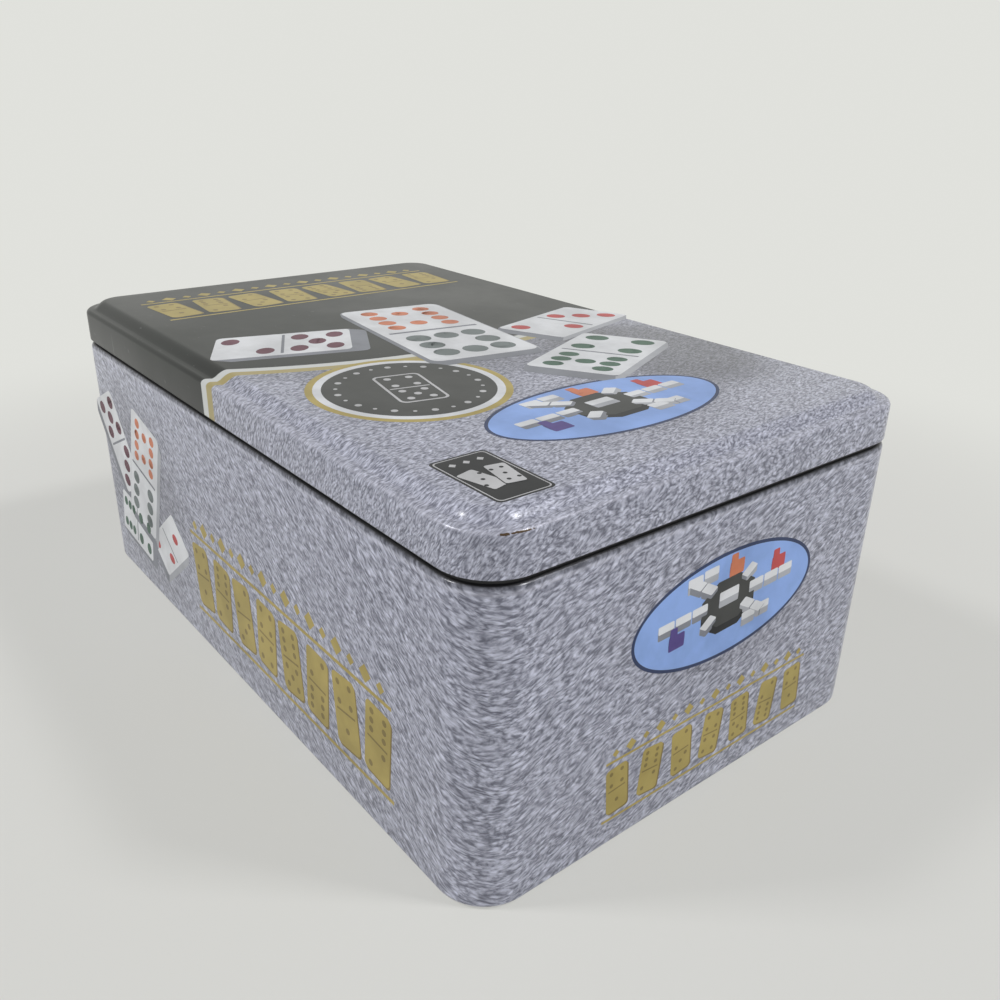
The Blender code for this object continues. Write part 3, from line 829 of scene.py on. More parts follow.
# %% Tray
tray_black = make_plastic("tray_black", (0.018, 0.018, 0.020), 0.42, 0.0009, 0.00003)
tray_low, tray_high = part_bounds("tile_tray")
POCKET_HALF = Vector((0.0852, 0.04845))
WALL = 0.8 * MM
LIP = 6 * MM


def tray_block(name, half_x, half_y, low, high, radius):
    return round_block(name, (-half_x, -half_y, low), (half_x, half_y, high), radius, corner_steps=10)


tray = tray_block("tray", tray_high.x, tray_high.y, tray_high.z - LIP, tray_high.z, 8.75 * MM)
hollow_top = tray_high.z - WALL
cut(tray, tray_block("under", tray_high.x - WALL, tray_high.y - WALL, 0.02, hollow_top, 7.95 * MM))
pocket_x, pocket_y = POCKET_HALF + Vector((WALL, WALL))
cut(tray, tray_block("well", pocket_x, pocket_y, tray_low.z, tray_high.z - 0.2 * MM, 3.8 * MM), "UNION")
cut(tray, tray_block("pocket", *POCKET_HALF, tray_low.z + WALL, 0.08, 3 * MM))
roll_edges(tray, 0.25, 2, 0.9)
paint(tray, tray_black)
hand_over(tray, "tray", ["tile_tray"])

# %% [markdown]
# ## Tiles
# A tile is a slab of pale resin with softly rounded corners, a groove across its middle, and
# drilled pips that are filled with a paint whose colour belongs to the number. One blank is
# modelled and copied. The pips of a tile are flat round cutters, joined into one tool, and
# the cut takes the paint's material over from the tool, so a pip is a real dimple.

# %% Resin and pip paints
tile_resin = make_plastic("tile_resin", (0.78, 0.77, 0.72), 0.20, 0.0015, 0.000006, 1.06, 0.3)
PIP_COLOURS = {
    1: (0.10, 0.42, 0.75), 2: (0.02, 0.26, 0.07), 3: (0.55, 0.02, 0.03), 4: (0.20, 0.08, 0.03),
    5: (0.02, 0.04, 0.32), 6: (0.80, 0.50, 0.03), 7: (0.75, 0.14, 0.32), 8: (0.02, 0.30, 0.28),
    9: (0.20, 0.03, 0.28), 10: (0.80, 0.19, 0.03), 11: (0.26, 0.01, 0.04), 12: (0.18, 0.19, 0.21),
}
pip_paint = {
    number: make_plastic(f"pip_paint_{number}", colour, 0.25, 0.0006, 0.00001, coat=0.4)
    for number, colour in PIP_COLOURS.items()
}
print("pip paints", len(pip_paint))

# %% Where the pips go
def pip_places(number):
    """Pips of one half, in grid steps from its middle."""
    thirds, quarters = (-1, 0, 1), (-1.17, -0.39, 0.39, 1.17)
    corners = [(-1, -1), (1, 1), (-1, 1), (1, -1)]
    if number <= 1:
        return [(0, 0)] * number
    if number <= 5:
        return corners[: number // 2 * 2] + [(0, 0)] * (number % 2)
    if number <= 7:
        return [(x, y) for x in (-1, 1) for y in thirds] + [(0, 0)] * (number - 6)
    if number <= 9:
        return [(x, y) for x in thirds for y in thirds if number == 9 or (x, y) != (0, 0)]
    middle = {10: (-0.78, 0.78), 11: thirds, 12: quarters}[number]
    return [(x, y) for x in (-1, 1) for y in quarters] + [(0, y) for y in middle]


# %% Blank tile
tile_low, tile_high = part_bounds("top_tile_front_1")
TILE_SIZE = tile_high - tile_low
PIP_PITCH = 5.6 * MM
PIP_RADIUS = 1.55 * MM
PIP_DEPTH = 0.45 * MM
half = TILE_SIZE / 2
blank = round_block("tile_blank", -half, half, 2.2 * MM, 0.7 * MM, 5, 3)
groove_low, groove_high = (-0.02, -0.6 * MM, half.z - 0.5 * MM), (0.02, 0.6 * MM, 0.02)
groove = round_block("groove", groove_low, groove_high, 0.2 * MM, corner_steps=2)
paint(blank, tile_resin)
cut(blank, groove)
roll_edges(blank, 0.12, 2, 1.0)
print("blank tile", len(blank.data.polygons), "faces")


# %% Cutting the pips
def pip_tool(numbers):
    """Flat round cutters for both halves of a tile, in the paints of their numbers."""
    tools = []
    for side, number in zip((-1, 1), numbers):
        for step_x, step_y in pip_places(number):
            place = (step_x * PIP_PITCH, side * TILE_SIZE.y / 4 + step_y * PIP_PITCH, half.z)
            bpy.ops.mesh.primitive_uv_sphere_add(segments=14, ring_count=8, location=place)
            tool = bpy.context.object
            tool.scale = (PIP_RADIUS, PIP_RADIUS, PIP_DEPTH)
            apply_place()
            paint(tool, pip_paint[number])
            tools.append(tool)
    return join_pieces(tools, "pip_tool")


def make_tile(name, numbers, centre):
    tile = copy_piece(blank, name, Matrix.Identity(4))
    if sum(numbers):
        cut(tile, pip_tool(numbers))
    tile.data.transform(Matrix.Translation(centre))
    return tile


# %% [markdown]
# The thirteen top tiles each show another pair of numbers. Under each are six more, of which
# only the uppermost is ever looked at from above, so that one has pips as well. The six are one
# piece, because they are one solid. Every tile takes its place from the box of its solid.

# %% Top tiles and stacks
STACKED = 6
TOP_NUMBERS = [
    (12, 12), (3, 8), (10, 5), (6, 11), (9, 2), (1, 7), (4, 4),
    (8, 8), (12, 6), (2, 10), (5, 5), (11, 3), (7, 9),
]
NEXT_NUMBERS = [
    (5, 9), (2, 2), (11, 7), (1, 12), (6, 6), (10, 3), (8, 1),
    (4, 9), (0, 7), (3, 3), (12, 8), (6, 2), (10, 10),
]
tile_names = [f"front_{index}" for index in range(1, 8)] + [f"back_{index}" for index in range(1, 7)]
for label, numbers, below in zip(tile_names, TOP_NUMBERS, NEXT_NUMBERS):
    low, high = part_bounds(f"top_tile_{label}")
    tile = make_tile(f"tile_{label}", numbers, (low + high) / 2)
    hand_over(tile, f"tile_{label}", [f"top_tile_{label}"])
    low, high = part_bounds(f"tile_stack_{label}")
    middle = (low + high) / 2
    stack = []
    for level in range(STACKED):
        centre = Vector((middle.x, middle.y, low.z + (level + 0.5) * TILE_SIZE.z))
        stack.append(make_tile("stacked", below if level == STACKED - 1 else (0, 0), centre))
    hand_over(join_pieces(stack, f"stack_{label}"), "tray", [f"tile_stack_{label}"])
bpy.data.objects.remove(blank)

# %% [markdown]
# ## Hub
# The first tile lies in the long recess in the middle of the hub, and one train of tiles
# starts from the slot in each of its eight sides. It is an eight-sided slab with nine pockets,
# hollow below to save plastic. The cuts are made with blocks, and all edges are then bevelled.

# %% Hub
hub_black = make_plastic("hub_black", (0.010, 0.010, 0.012), 0.24, 0.0007, 0.00001, coat=0.2)
hub_low, hub_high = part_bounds("hub")
ACROSS = (hub_high.x - hub_low.x) / 2
EIGHTH = math.pi / 8


def eight_sided(name, inner_radius, low, high):
    deselect()
    radius = inner_radius / math.cos(EIGHTH)
    centre = (0, 0, (low + high) / 2)
    size = {"vertices": 8, "radius": radius, "depth": high - low}
    bpy.ops.mesh.primitive_cylinder_add(**size, location=centre, rotation=(0, 0, EIGHTH))
    open_piece(name)
    return close_piece()


hub = eight_sided("hub_plate", ACROSS, hub_low.z, hub_high.z)
RECESS_DEPTH = 3.5 * MM
SLOT_HALF = 12.25 * MM
RECESS_HALF = 24.25 * MM
OVER_HUB = 0.09
recess_floor = hub_high.z - RECESS_DEPTH
low, high = (-SLOT_HALF, -RECESS_HALF, recess_floor), (SLOT_HALF, RECESS_HALF, OVER_HUB)
cut(hub, round_block("middle", low, high, 0.8 * MM))
for side in range(8):
    low, high = (ACROSS - 12 * MM, -SLOT_HALF, recess_floor), (ACROSS + 4 * MM, SLOT_HALF, OVER_HUB)
    slot = round_block("slot", low, high, 0.8 * MM)
    slot.data.transform(Matrix.Rotation(side * QUARTER / 2, 4, "Z"))
    cut(hub, slot)
cut(hub, eight_sided("hollow", ACROSS - 5.6 * MM, 0.05, hub_low.z + RECESS_DEPTH))
roll_edges(hub, 0.45, 3, 0.6)
paint(hub, hub_black)
hand_over(hub, "hub", ["hub"], 40)

# %% [markdown]
# ## Train markers
# Each player moves a little locomotive. It is one moulding: a flat frame on six wheels, a
# boiler with a chimney and a dome, a cab with a curved roof and windows, and a buffer beam.
# The forms are added one by one at their sizes, each with its own small bevel, and united.
# One is modelled, and the eight are copies of it in eight colours.

# %% Parts of the locomotive
def part_box(name, x, width, low, high, bevel):
    """A box of the engine between two x places, two heights and a full width, in millimetres."""
    corner, edge = bevel * MM, bevel * 0.6 * MM
    low_corner = (x[0] * MM, -width / 2 * MM, low * MM)
    return round_block(name, low_corner, (x[1] * MM, width / 2 * MM, high * MM), corner, edge, 3, 3)


def part_rod(name, radius, top_radius, length, centre, turn=(0, 0, 0), sides=28, bevel=0.2):
    deselect()
    place = [part * MM for part in centre]
    size = {"radius1": radius * MM, "radius2": top_radius * MM, "depth": length * MM}
    bpy.ops.mesh.primitive_cone_add(vertices=sides, **size, location=place, rotation=turn)
    open_piece(name)
    bpy.ops.mesh.select_mode(type="EDGE")
    bpy.ops.mesh.select_all(action="DESELECT")
    mesh = bmesh.from_edit_mesh(bpy.context.object.data)
    for edge in mesh.edges:
        edge.select_set(edge.calc_face_angle() > 1.0)
    bmesh.update_edit_mesh(bpy.context.object.data)
    bpy.ops.mesh.bevel(offset=bevel * MM, segments=2, affect="EDGES")
    return close_piece()


def make_engine():
    engine = part_box("engine", (-12.1, 11.8), 7.5, 2.6, 5.6, 0.3)
    cab = part_box("cab", (-12.1, -3.6), 10.2, 5.2, 14.3, 0.35)
    cut(cab, part_box("side_window", (-10.4, -5.6), 14, 8.9, 12.4, 0.5))
    core = part_box("core", (-11.7, -4.0), 9.2, 5.5, 14.1, 0.1)
    cut(cab, core, "UNION")
    cut(engine, cab, "UNION")
    roof = part_box("roof", (-13.0, -2.7), 11.5, 14.1, 15.5, 0.6)
    cut(engine, roof, "UNION")
    sideways = (0, QUARTER, 0)
    cut(engine, part_rod("boiler", 4.1, 4.1, 15.6, (4.0, 0, 9.3), sideways), "UNION")
    cut(engine, part_rod("smokebox", 4.35, 4.35, 3.2, (10.0, 0, 9.3), sideways), "UNION")
    cut(engine, part_rod("door", 2.9, 2.6, 0.7, (11.75, 0, 9.3), sideways, 24, 0.15), "UNION")
    for x in (-0.4, 3.4):
        cut(engine, part_rod("band", 4.28, 4.28, 0.5, (x, 0, 9.3), sideways, 28, 0.1), "UNION")
    cut(engine, part_rod("chimney", 1.3, 2.0, 4.4, (7.6, 0, 13.2)), "UNION")
    cut(engine, part_rod("flue", 1.2, 1.2, 1.4, (7.6, 0, 15.5), (0, 0, 0), 20, 0.1))
    cut(engine, part_rod("dome", 1.9, 1.3, 3.4, (1.9, 0, 13.4), (0, 0, 0), 24, 0.5), "UNION")
    cut(engine, part_box("beam", (11.4, 13.0), 11.5, 2.4, 5.4, 0.25), "UNION")
    return engine


def add_wheels(engine):
    forms = (
        ("wheel", 2.8, 1.6, 4.15, 26, 0.15, "UNION"),
        ("wheel_hub", 0.8, 0.8, 5.05, 16, 0.1, "UNION"),
        ("rim_recess", 2.1, 0.5, 5.0, 22, 0.05, "DIFFERENCE"),
        ("wheel_cap", 0.8, 1.0, 4.9, 16, 0.1, "UNION"),
    )
    for x in (-7.8, 0.0, 7.8):
        for side in (-1, 1):
            for name, radius, length, y, sides, bevel, operation in forms:
                place = (x, side * y, 2.8)
                form = part_rod(name, radius, radius, length, place, (QUARTER, 0, 0), sides, bevel)
                cut(engine, form, operation)
    return engine


engine = add_wheels(make_engine())
print("engine", len(engine.data.polygons), "faces")

# %% Eight markers
MARKER_COLOURS = {
    "purple": (0.14, 0.04, 0.27), "orange": (0.80, 0.19, 0.04), "black": (0.014, 0.014, 0.015),
    "white": (0.78, 0.78, 0.76), "red": (0.54, 0.02, 0.03), "green": (0.03, 0.28, 0.09),
    "yellow": (0.80, 0.56, 0.04), "blue": (0.04, 0.13, 0.48),
}
for colour, value in MARKER_COLOURS.items():
    low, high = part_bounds(f"train_marker_{colour}")
    centre = Vector(((low.x + high.x) / 2, (low.y + high.y) / 2, low.z))
    turn = math.pi if centre.x < 0 else 0
    place = Matrix.Translation(centre) @ Matrix.Rotation(turn, 4, "Z")
    marker = copy_piece(engine, f"marker_{colour}", place)
    paint(marker, make_plastic(f"plastic_{colour}", value, 0.26, 0.0008, 0.00001, coat=0.15))
    hand_over(marker, f"marker_{colour}", [f"train_marker_{colour}"], 35)
bpy.data.objects.remove(engine)

# %% [markdown]
# ## Leaflet
# The rules are one long sheet folded in a zigzag to five leaves, as thick together as a
# millimetre. The folds are drawn as a line seen from the side, extruded across the sheet's
# width and given the paper's thickness, so that the leaves really lie on each other.

# %% Paper
def make_paper():
    material, tree, shader, place = new_material("paper", 0.7)
    cloud = use_group(tree, mottle, Vector=place, Size=0.004)[0]
    colour = blend(tree, cloud, (0.72, 0.71, 0.67, 1), (0.79, 0.78, 0.74, 1))
    tree.links.new(colour, shader.inputs["Base Color"])
    set_bump(tree, shader, noise(tree, place, 4500.0, 3.0), 0.00002)
    return material


# %% Folded sheet
paper = make_paper()
leaf_low, leaf_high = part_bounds("rules_leaflet")
PAPER = 0.11 * MM
LEAVES = 5
SPARE = 0.04 * MM
leaf_pitch = (leaf_high.z - leaf_low.z - PAPER - SPARE) / (LEAVES - 1)
fold = leaf_pitch / 2
reach = leaf_high.x - fold - PAPER
line = []
for leaf in range(LEAVES):
    height = leaf_low.z + PAPER / 2 + SPARE / 2 + leaf * leaf_pitch
    side = 1 if leaf % 2 == 0 else -1
    line += [(-side * reach, height), (side * reach, height)]
    if leaf < LEAVES - 1:
        for angle in (-QUARTER / 2, 0, QUARTER / 2):
            line.append((side * (reach + fold * math.cos(angle)), height + fold + fold * math.sin(angle)))
draw_line("leaflet", [Vector((x, leaf_low.y, z)) for x, z in line])
bpy.ops.mesh.select_all(action="SELECT")
extrude((0, leaf_high.y - leaf_low.y, 0))
leaflet = close_piece()
apply_modifier(leaflet, "SOLIDIFY", thickness=PAPER, offset=0.0)
paint(leaflet, paper)
leaflet_top = max(vertex.co.z for vertex in leaflet.data.vertices)
hand_over(leaflet, "leaflet", ["rules_leaflet"], 40)

# %% [markdown]
# ## Printed pictures
# The pictures on the lid and the walls are ink under the same clear varnish. They are drawn as
# films a few hundredths of a millimetre thick that lie on the lacquer. A film can have a crisp
# outline of any shape, and it stays sharp close up, which a painted image would not. Each ink
# is a plain colour that is broken up by the faint dots of the printing screen.

# %% Inks
def make_ink(name, colour, depth=0.10, metallic=0.0):
    material, tree, shader, place = new_material(f"ink_{name}", 0.36, metallic, 0.22, 0.20)
    shader.inputs["Specular IOR Level"].default_value = 0.08
    dots = use_group(tree, print_screen, Vector=place, Pitch=0.00028)[0]
    cloud = use_group(tree, mottle, Vector=place, Size=0.011)[0]
    darker = (*[part * (1 - 1.6 * depth) for part in colour], 1)
    paler = (*[min(1.0, part * (1 + depth) + 0.006) for part in colour], 1)
    mixed = blend(tree, cloud, darker, paler)
    shown = blend(tree, sum_of(tree, "MULTIPLY", dots, 0.22), mixed, darker)
    tree.links.new(shown, shader.inputs["Base Color"])
    return material


INKS = {
    "charcoal": (0.050, 0.052, 0.050), "black": (0.016, 0.017, 0.019), "gold": (0.42, 0.33, 0.10),
    "bronze": (0.24, 0.18, 0.06), "silver": (0.50, 0.50, 0.51), "white": (0.70, 0.71, 0.73),
    "shade": (0.40, 0.41, 0.44), "dusk": (0.22, 0.23, 0.26), "sky": (0.26, 0.40, 0.76),
    "navy": (0.030, 0.045, 0.11), "maroon": (0.13, 0.035, 0.06), "orange": (0.62, 0.20, 0.10),
    "grey": (0.16, 0.19, 0.19), "red": (0.50, 0.07, 0.07), "green": (0.06, 0.13, 0.09),
    "violet": (0.09, 0.06, 0.24),
}
ink = {name: make_ink(name, colour) for name, colour in INKS.items()}
print("inks", len(ink))

# %% [markdown]
# A flat shape is a circle or a plane with rounded corners, pulled up to a thin slab. A picture
# of a solid thing, such as a tile that leans, is easier than it looks: the tile is modelled,
# turned as it should be seen, and pressed flat. What lies in front stays in front, so the
# picture comes out right by itself. Sizes are in millimetres, with x to the right and y up
# on the printed face, and levels count films from the lacquer upwards.

# %% Flat shapes
FILM = 0.008


def level_height(level):
    return (0.004 + level * FILM) * MM


def flat_shape(piece, colour):
    """Pulls a flat face up to a film, in one ink."""
    extrude((0, 0, FILM * 0.6 * MM))
    face_outwards()
    piece.data.materials.append(ink[colour])
    return close_piece()


def disc(x, y, radius_x, radius_y, colour, level=0, sides=64):
    deselect()
    place = (x * MM, y * MM, level_height(level))
    bpy.ops.mesh.primitive_circle_add(vertices=sides, radius=1, fill_type="NGON", location=place)
    bpy.context.object.scale = (radius_x * MM, radius_y * MM, 1)
    return flat_shape(open_piece("disc"), colour)


def card(x, y, width, height, radius, colour, level=0, turn=0.0):
    deselect()
    bpy.ops.mesh.primitive_plane_add(size=MM)
    bpy.context.object.scale = (width, height, 1)
    apply_place()
    piece = open_piece("card")
    if radius:
        bpy.ops.mesh.bevel(offset=radius * MM, segments=5, affect="VERTICES")
    piece.location = (x * MM, y * MM, level_height(level))
    piece.rotation_euler.z = math.radians(turn)
    return flat_shape(piece, colour)


# %% Pictures of solid things
TILE_INKS = ("white", "shade", "dusk")


def press_flat(pieces, x, y, level, films=1.0):
    """Presses turned pieces flat on the print, with their middle at x, y."""
    piece = join_pieces(pieces, "picture")
    heights = [vertex.co.z for vertex in piece.data.vertices]
    squeeze = films * FILM * MM / (max(heights) - min(heights))
    flat = Matrix.Diagonal((1, 1, squeeze, 1)) @ Matrix.Translation((0, 0, -min(heights)))
    piece.data.transform(Matrix.Translation((x * MM, y * MM, level_height(level))) @ flat)
    return piece


def turned(piece, tilt, lift=0.0):
    """Turns a piece as it is to be seen, and raises it towards the viewer without moving it aside."""
    turn = Euler([math.radians(part) for part in tilt]).to_matrix().to_4x4()
    piece.data.transform(Matrix.Translation((0, 0, lift)) @ turn)
    return piece


def tile_picture(x, y, size, tilt, numbers, colours, level):
    """A leaning tile with round pips; size is the tile's width in millimetres."""
    width, length, thick = size * MM, size * 2 * MM, size * 0.36 * MM
    corner = Vector((width, length, thick)) / 2
    body = round_block("picture_tile", -corner, corner, width * 0.10, width * 0.05, 5, 2)
    paint(body, *[ink[colour] for colour in TILE_INKS])
    for face in body.data.polygons:
        face.material_index = 0 if face.normal.z > 0.75 else 1 if face.normal.x + face.normal.y > 0 else 2
    parts = [turned(body, tilt)]
    front = 2 * length
    low, high = (-width * 0.42, -width * 0.02, corner.z), (width * 0.42, width * 0.02, corner.z * 1.02)
    groove = round_block("line", low, high, width * 0.01)
    paint(groove, ink["dusk"])
    parts.append(turned(groove, tilt, front))
    for side, number, colour in zip((-1, 1), numbers, colours):
        dot = 0.130 if number < 6 else 0.108 if number < 10 else 0.080
        for step_x, step_y in pip_places(number):
            place = (step_x * width * 0.26, side * length / 4 + step_y * width * 0.26, corner.z)
            size = {"radius": width * dot, "depth": corner.z * 0.02}
            bpy.ops.mesh.primitive_cylinder_add(vertices=20, **size, location=place)
            open_piece("pip")
            pip = close_piece()
            paint(pip, ink[colour])
            parts.append(turned(pip, tilt, front))
    return press_flat(parts, x, y, level, 1.8)


# %% Pictures of the hub with its trains
def small_block(low, high, colours, bevel=0.4):
    """A little block for a picture, with a colour for its top, its near sides and its others."""
    low, high = [part * MM for part in low], [part * MM for part in high]
    block = round_block("small", low, high, bevel * MM, corner_steps=2)
    paint(block, *[ink[colour] for colour in colours])
    for face in block.data.polygons:
        face.material_index = 0 if face.normal.z > 0.7 else 1 if face.normal.y < 0 else 2
    return block


def hub_picture(x, y, scale, level):
    """The hub seen from one side and above, with rows of tiles that start from it."""
    deselect()
    bpy.ops.mesh.primitive_cylinder_add(vertices=8, radius=9.5 * MM, depth=2.4 * MM, rotation=(0, 0, EIGHTH))
    open_piece("small_hub")
    plate = close_piece()
    paint(plate, ink["black"], ink["charcoal"])
    for face in plate.data.polygons:
        face.material_index = 1 if face.normal.z > 0.7 else 0
    parts = [plate, small_block((-3.2, -1.7, 1.0), (3.2, 1.7, 3.4), TILE_INKS)]
    for side, count in ((0, 3), (1, 1), (3, 2), (4, 3), (5, 1), (7, 2)):
        for step in range(count):
            start = 7.0 + step * 5.2
            tile = small_block((start, -1.5, 0.4), (start + 4.8, 1.5, 2.4), TILE_INKS)
            tile.data.transform(Matrix.Rotation(side * QUARTER / 2, 4, "Z"))
            parts.append(tile)
    for row_x, row_y in ((-13.5, 11.0), (-8.5, 11.6), (5.0, -13.0), (10.0, -12.4)):
        parts.append(small_block((row_x, row_y, 0), (row_x + 4.6, row_y + 3.0, 2.2), TILE_INKS))
    for colour, spot_x, spot_y in (("violet", -16.5, -6.0), ("red", 17.0, 5.2), ("orange", 2.2, 11.5)):
        inks = (colour, colour, "navy")
        parts.append(small_block((spot_x - 2.4, spot_y - 1.4, 0), (spot_x + 2.4, spot_y + 1.4, 2.4), inks))
        parts.append(small_block((spot_x - 2.2, spot_y - 1.4, 2.2), (spot_x, spot_y + 1.4, 4.8), inks))
    for part in parts:
        part.data.transform(Matrix.Rotation(0.06, 4, "Z") @ Matrix.Scale(scale, 4))
        turned(part, (-50, 0, 0))
    return press_flat(parts, x, y, level, 1.8)


def oval_picture(x, y, radius_x, radius_y, scale):
    return [
        disc(x, y, radius_x, radius_y, "navy", 0, 96),
        disc(x, y, radius_x - 0.8, radius_y - 0.8, "sky", 1, 96),
        hub_picture(x, y, scale, 2),
    ]


# %% [markdown]
# ## Gold ornament
# The long sides, the ends and the lid each carry a wide band of gold print. Here it is a frieze
# of upright domino outlines between two rules, with a row of small lozenges over it. Each is
# gold with a bronze edge below and to the right, which makes it look a little raised. The
# frieze is drawn once at a given size, so all five places share one design.

# %% Frieze
def pip_discs(x, y, number, pitch, radius, colour, level, sides=16, lean=0.0, shift=0.0):
    """The pips of one half of a drawn tile about x, y, with the half shifted up and then leaning."""
    parts = []
    for step_x, step_y in pip_places(number):
        spot = Vector((step_x * pitch[0], shift + step_y * pitch[1], 0))
        spot.rotate(Euler((0, 0, math.radians(lean))))
        parts.append(disc(x + spot.x, y + spot.y, radius, radius, colour, level, sides))
    return parts


def lozenge(x, y, size, colour, level, turn=45.0):
    return card(x, y, size, size, 0, colour, level, turn)


def frieze(x, y, width, height, count):
    """A row of gold tiles between two rules, with lozenges above, about a middle x, y."""
    parts = []
    tall = height * 0.56
    wide = tall * 0.52
    step = (width - wide) / (count - 1)
    row_y = y - height * 0.12
    for index in range(count):
        place = x - width / 2 + wide / 2 + index * step
        lean = (-1) ** index * 5
        parts.append(card(place + 0.4, row_y - 0.4, wide, tall, wide * 0.16, "bronze", 0, lean))
        parts.append(card(place, row_y, wide, tall, wide * 0.16, "gold", 1, lean))
        parts.append(card(place, row_y, wide * 0.8, tall * 0.03, 0, "bronze", 2, lean))
        for side, number in ((-1, index % 6 + 1), (1, (index * 2 + 3) % 6 + 1)):
            pitch, half_y = (wide * 0.25, wide * 0.25), side * tall / 4
            parts += pip_discs(place, row_y, number, pitch, wide * 0.085, "bronze", 2, 16, lean, half_y)
    for rule_y in (row_y + tall * 0.64, row_y - tall * 0.64):
        parts.append(card(x, rule_y, width * 1.02, height * 0.030, 0, "gold", 0))
    spots = count * 2 + 1
    for index in range(spots):
        share = index / (spots - 1) - 0.5
        top_y = row_y + tall * 0.80 + height * 0.05 * (1 - 4 * share * share)
        size = height * (0.10 if index % 2 else 0.065)
        parts.append(lozenge(x + share * width * 0.94, top_y, size, "gold", 1))
    return parts


# %% [markdown]
# ## Pictures on each face
# The lid is read from the right-hand end of the tin, so its print runs across the width. It has
# the frieze on the charcoal field, a fan of leaning tiles, a round badge, an oval picture of
# the hub with its trains, and a small dark plate with two tiles. The long sides carry one tile
# group and a frieze, and the ends an oval and a frieze. The back and the far end are not in
# the photograph, and repeat the sides opposite them, as printed tins usually do.

# %% Laying a print on a face
def lay_print(name, parts, right, up, surface, body):
    """Joins the pictures of a face, turns them onto it, and lets them ride with their body."""
    piece = join_pieces(parts, name)
    right, up = Vector(right), Vector(up)
    facing = right.cross(up)
    turn = Matrix((right, up, facing)).transposed().to_4x4()
    piece.data.transform(Matrix.Translation(facing * (surface - SKIN * MM)) @ turn)
    return hand_over(piece, body, [], 10)


# %% Lid print
BADGE_LEAN = -12
DOT_RING = 15.6


def badge(x, y):
    parts = [
        disc(x, y, 22.0, 22.0, "gold", 0, 96),
        disc(x, y, 20.4, 20.4, "white", 1, 96),
        disc(x, y, 18.6, 18.6, "charcoal", 2, 96),
        card(x, y, 11, 19, 1.6, "silver", 3, BADGE_LEAN),
        card(x, y, 9.8, 17.8, 1.2, "charcoal", 4, BADGE_LEAN),
        card(x, y, 9.0, 0.5, 0, "silver", 5, BADGE_LEAN),
    ]
    for index in range(24):
        angle = math.radians(index * 15)
        size = 0.75 if index % 2 else 0.45
        spot_x, spot_y = x + DOT_RING * math.cos(angle), y + DOT_RING * math.sin(angle)
        parts.append(disc(spot_x, spot_y, size, size, "silver", 3, 14))
    for side, number in ((-1, 5), (1, 4)):
        parts += pip_discs(x, y, number, (2.5, 2.5), 0.85, "silver", 5, 16, BADGE_LEAN, side * 4.5)
    return parts


def small_plate(x, y):
    parts = [
        card(x, y, 12.4, 20.0, 1.3, "black", 0),
        card(x, y, 11.4, 19.0, 1.0, "silver", 1),
        card(x, y, 10.9, 18.5, 0.9, "black", 2),
    ]
    for shift, turn, number, level in ((-2.3, 14, 3, 3), (2.4, -10, 5, 5)):
        parts.append(card(x + shift, y - 0.8, 4.6, 8.8, 0.6, "black", level, turn))
        parts.append(card(x + shift, y - 0.8, 4.1, 8.3, 0.5, "silver", level + 1, turn))
        parts += pip_discs(x + shift, y - 0.8, number, (1.1, 2.4), 0.42, "black", level + 2, 14)
    for step in (-3, 0, 3):
        parts.append(lozenge(x + step, y + 6.8, 1.1, "silver", 3))
    return parts


lid_parts = frieze(-1, 68, 92, 30, 8)
lid_parts += [
    tile_picture(-33, 14, 21, (-38, 16, 62), (5, 2), ("maroon", "maroon"), 0),
    tile_picture(37, -7, 20, (-34, -14, -66), (2, 3), ("red", "red"), 0),
    tile_picture(3, 5, 30, (-22, 6, -9), (8, 10), ("grey", "orange"), 2),
    tile_picture(22, -36, 23, (-40, -10, -58), (7, 4), ("green", "green"), 1),
]
lid_parts += badge(-29, -31)
lid_parts += oval_picture(-2.4, -63.8, 30.3, 14.2, 1.06)
lid_parts += small_plate(-44.8, -78.7)
lay_print("lid_print", lid_parts, (0, 1, 0), (-1, 0, 0), lid_high.z, "lid")


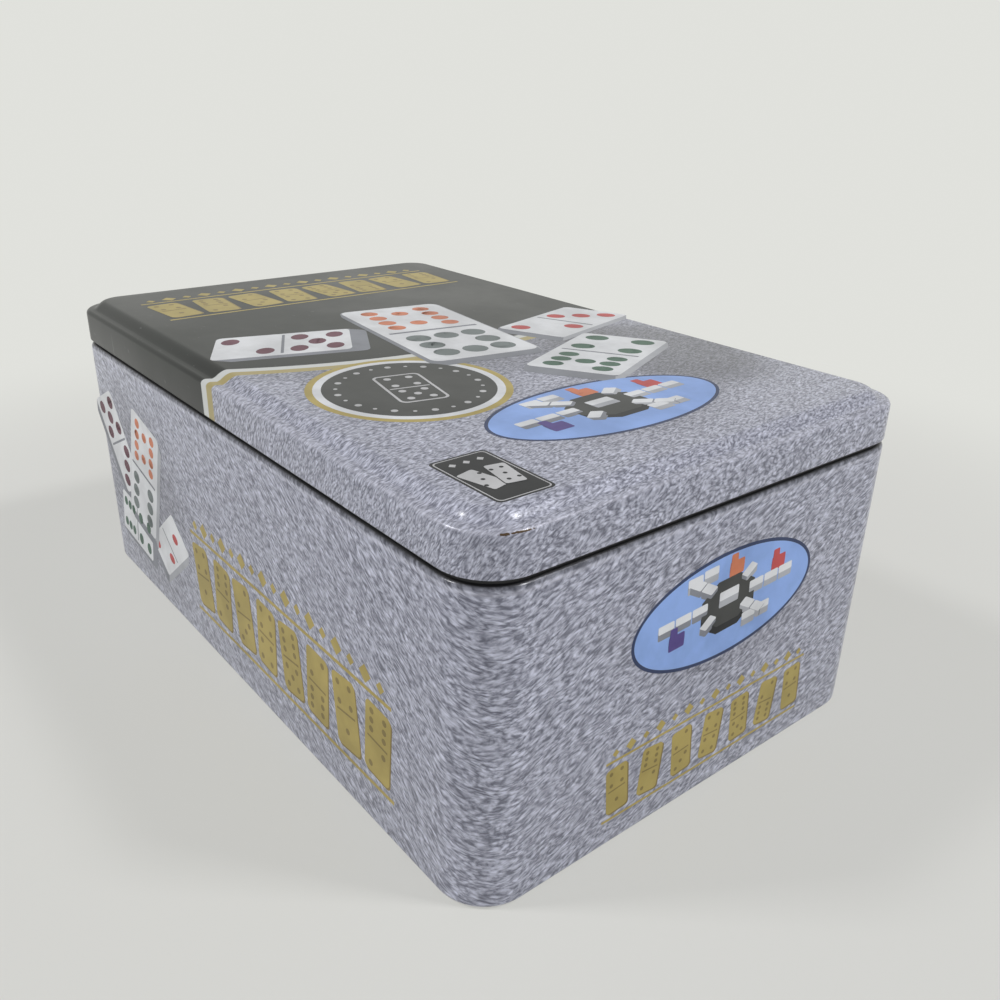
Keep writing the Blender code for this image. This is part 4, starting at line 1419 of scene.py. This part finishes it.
# %% Leaflet print
def leaflet_parts(width, depth):
    """A ruled title, three small drawings of rows of tiles, and plain bars where lines run."""
    parts = [card(0, depth * 0.40, width * 0.62, depth * 0.045, 0.6, "grey", 0)]
    for column in (-1, 0, 1):
        x = column * width * 0.30
        tile_y = depth * 0.24
        for index in range(5):
            tile_x = x + (index - 2) * 7.2
            parts.append(card(tile_x, tile_y, 6.4, 3.4, 0.4, "dusk", 0))
            parts.append(card(tile_x, tile_y, 5.8, 2.8, 0.3, "white", 1))
            parts.append(card(tile_x, tile_y, 0.3, 2.4, 0, "dusk", 2))
        full = width * 0.26
        for row in range(9):
            long = full if row % 4 else width * 0.19
            row_y = depth * (0.12 - row * 0.062)
            parts.append(card(x - (full - long) / 2, row_y, long, 0.9, 0, "grey", 0))
    return parts


leaf_size = (leaf_high - leaf_low) / MM
leaflet_face = leaflet_top + (SKIN - 0.002) * MM
print_parts = leaflet_parts(leaf_size.x, leaf_size.y)
lay_print("leaflet_print", print_parts, (1, 0, 0), (0, 1, 0), leaflet_face, "leaflet")


# %% Prints on the walls
def side_parts():
    parts = [
        tile_picture(-74, 40, 17, (-30, 22, 24), (3, 5), ("maroon", "maroon"), 0),
        tile_picture(-55, 36, 20, (-24, -16, -14), (6, 10), ("grey", "orange"), 2),
        tile_picture(-66, 17, 15, (-40, 10, 74), (4, 6), ("green", "green"), 1),
        tile_picture(-42, 20, 14, (-36, -18, -40), (2, 1), ("red", "red"), 0),
    ]
    return parts + frieze(22.5, 25.5, 92, 31, 8)


def end_parts(x):
    return oval_picture(x, 45.5, 27.5, 12.2, 0.92) + frieze(x, 16.2, 62, 20, 7)


HALF_WIDTH, HALF_LENGTH = TIN_WIDTH / 2, TIN_LENGTH / 2
lay_print("front_print", side_parts(), (1, 0, 0), (0, 0, 1), HALF_WIDTH, "tin")
lay_print("right_print", end_parts(3.1), (0, 1, 0), (0, 0, 1), HALF_LENGTH, "tin")
lay_print("back_print", side_parts(), (-1, 0, 0), (0, 0, 1), HALF_WIDTH, "tin")
lay_print("left_print", end_parts(3.1), (0, -1, 0), (0, 0, 1), HALF_LENGTH, "tin")
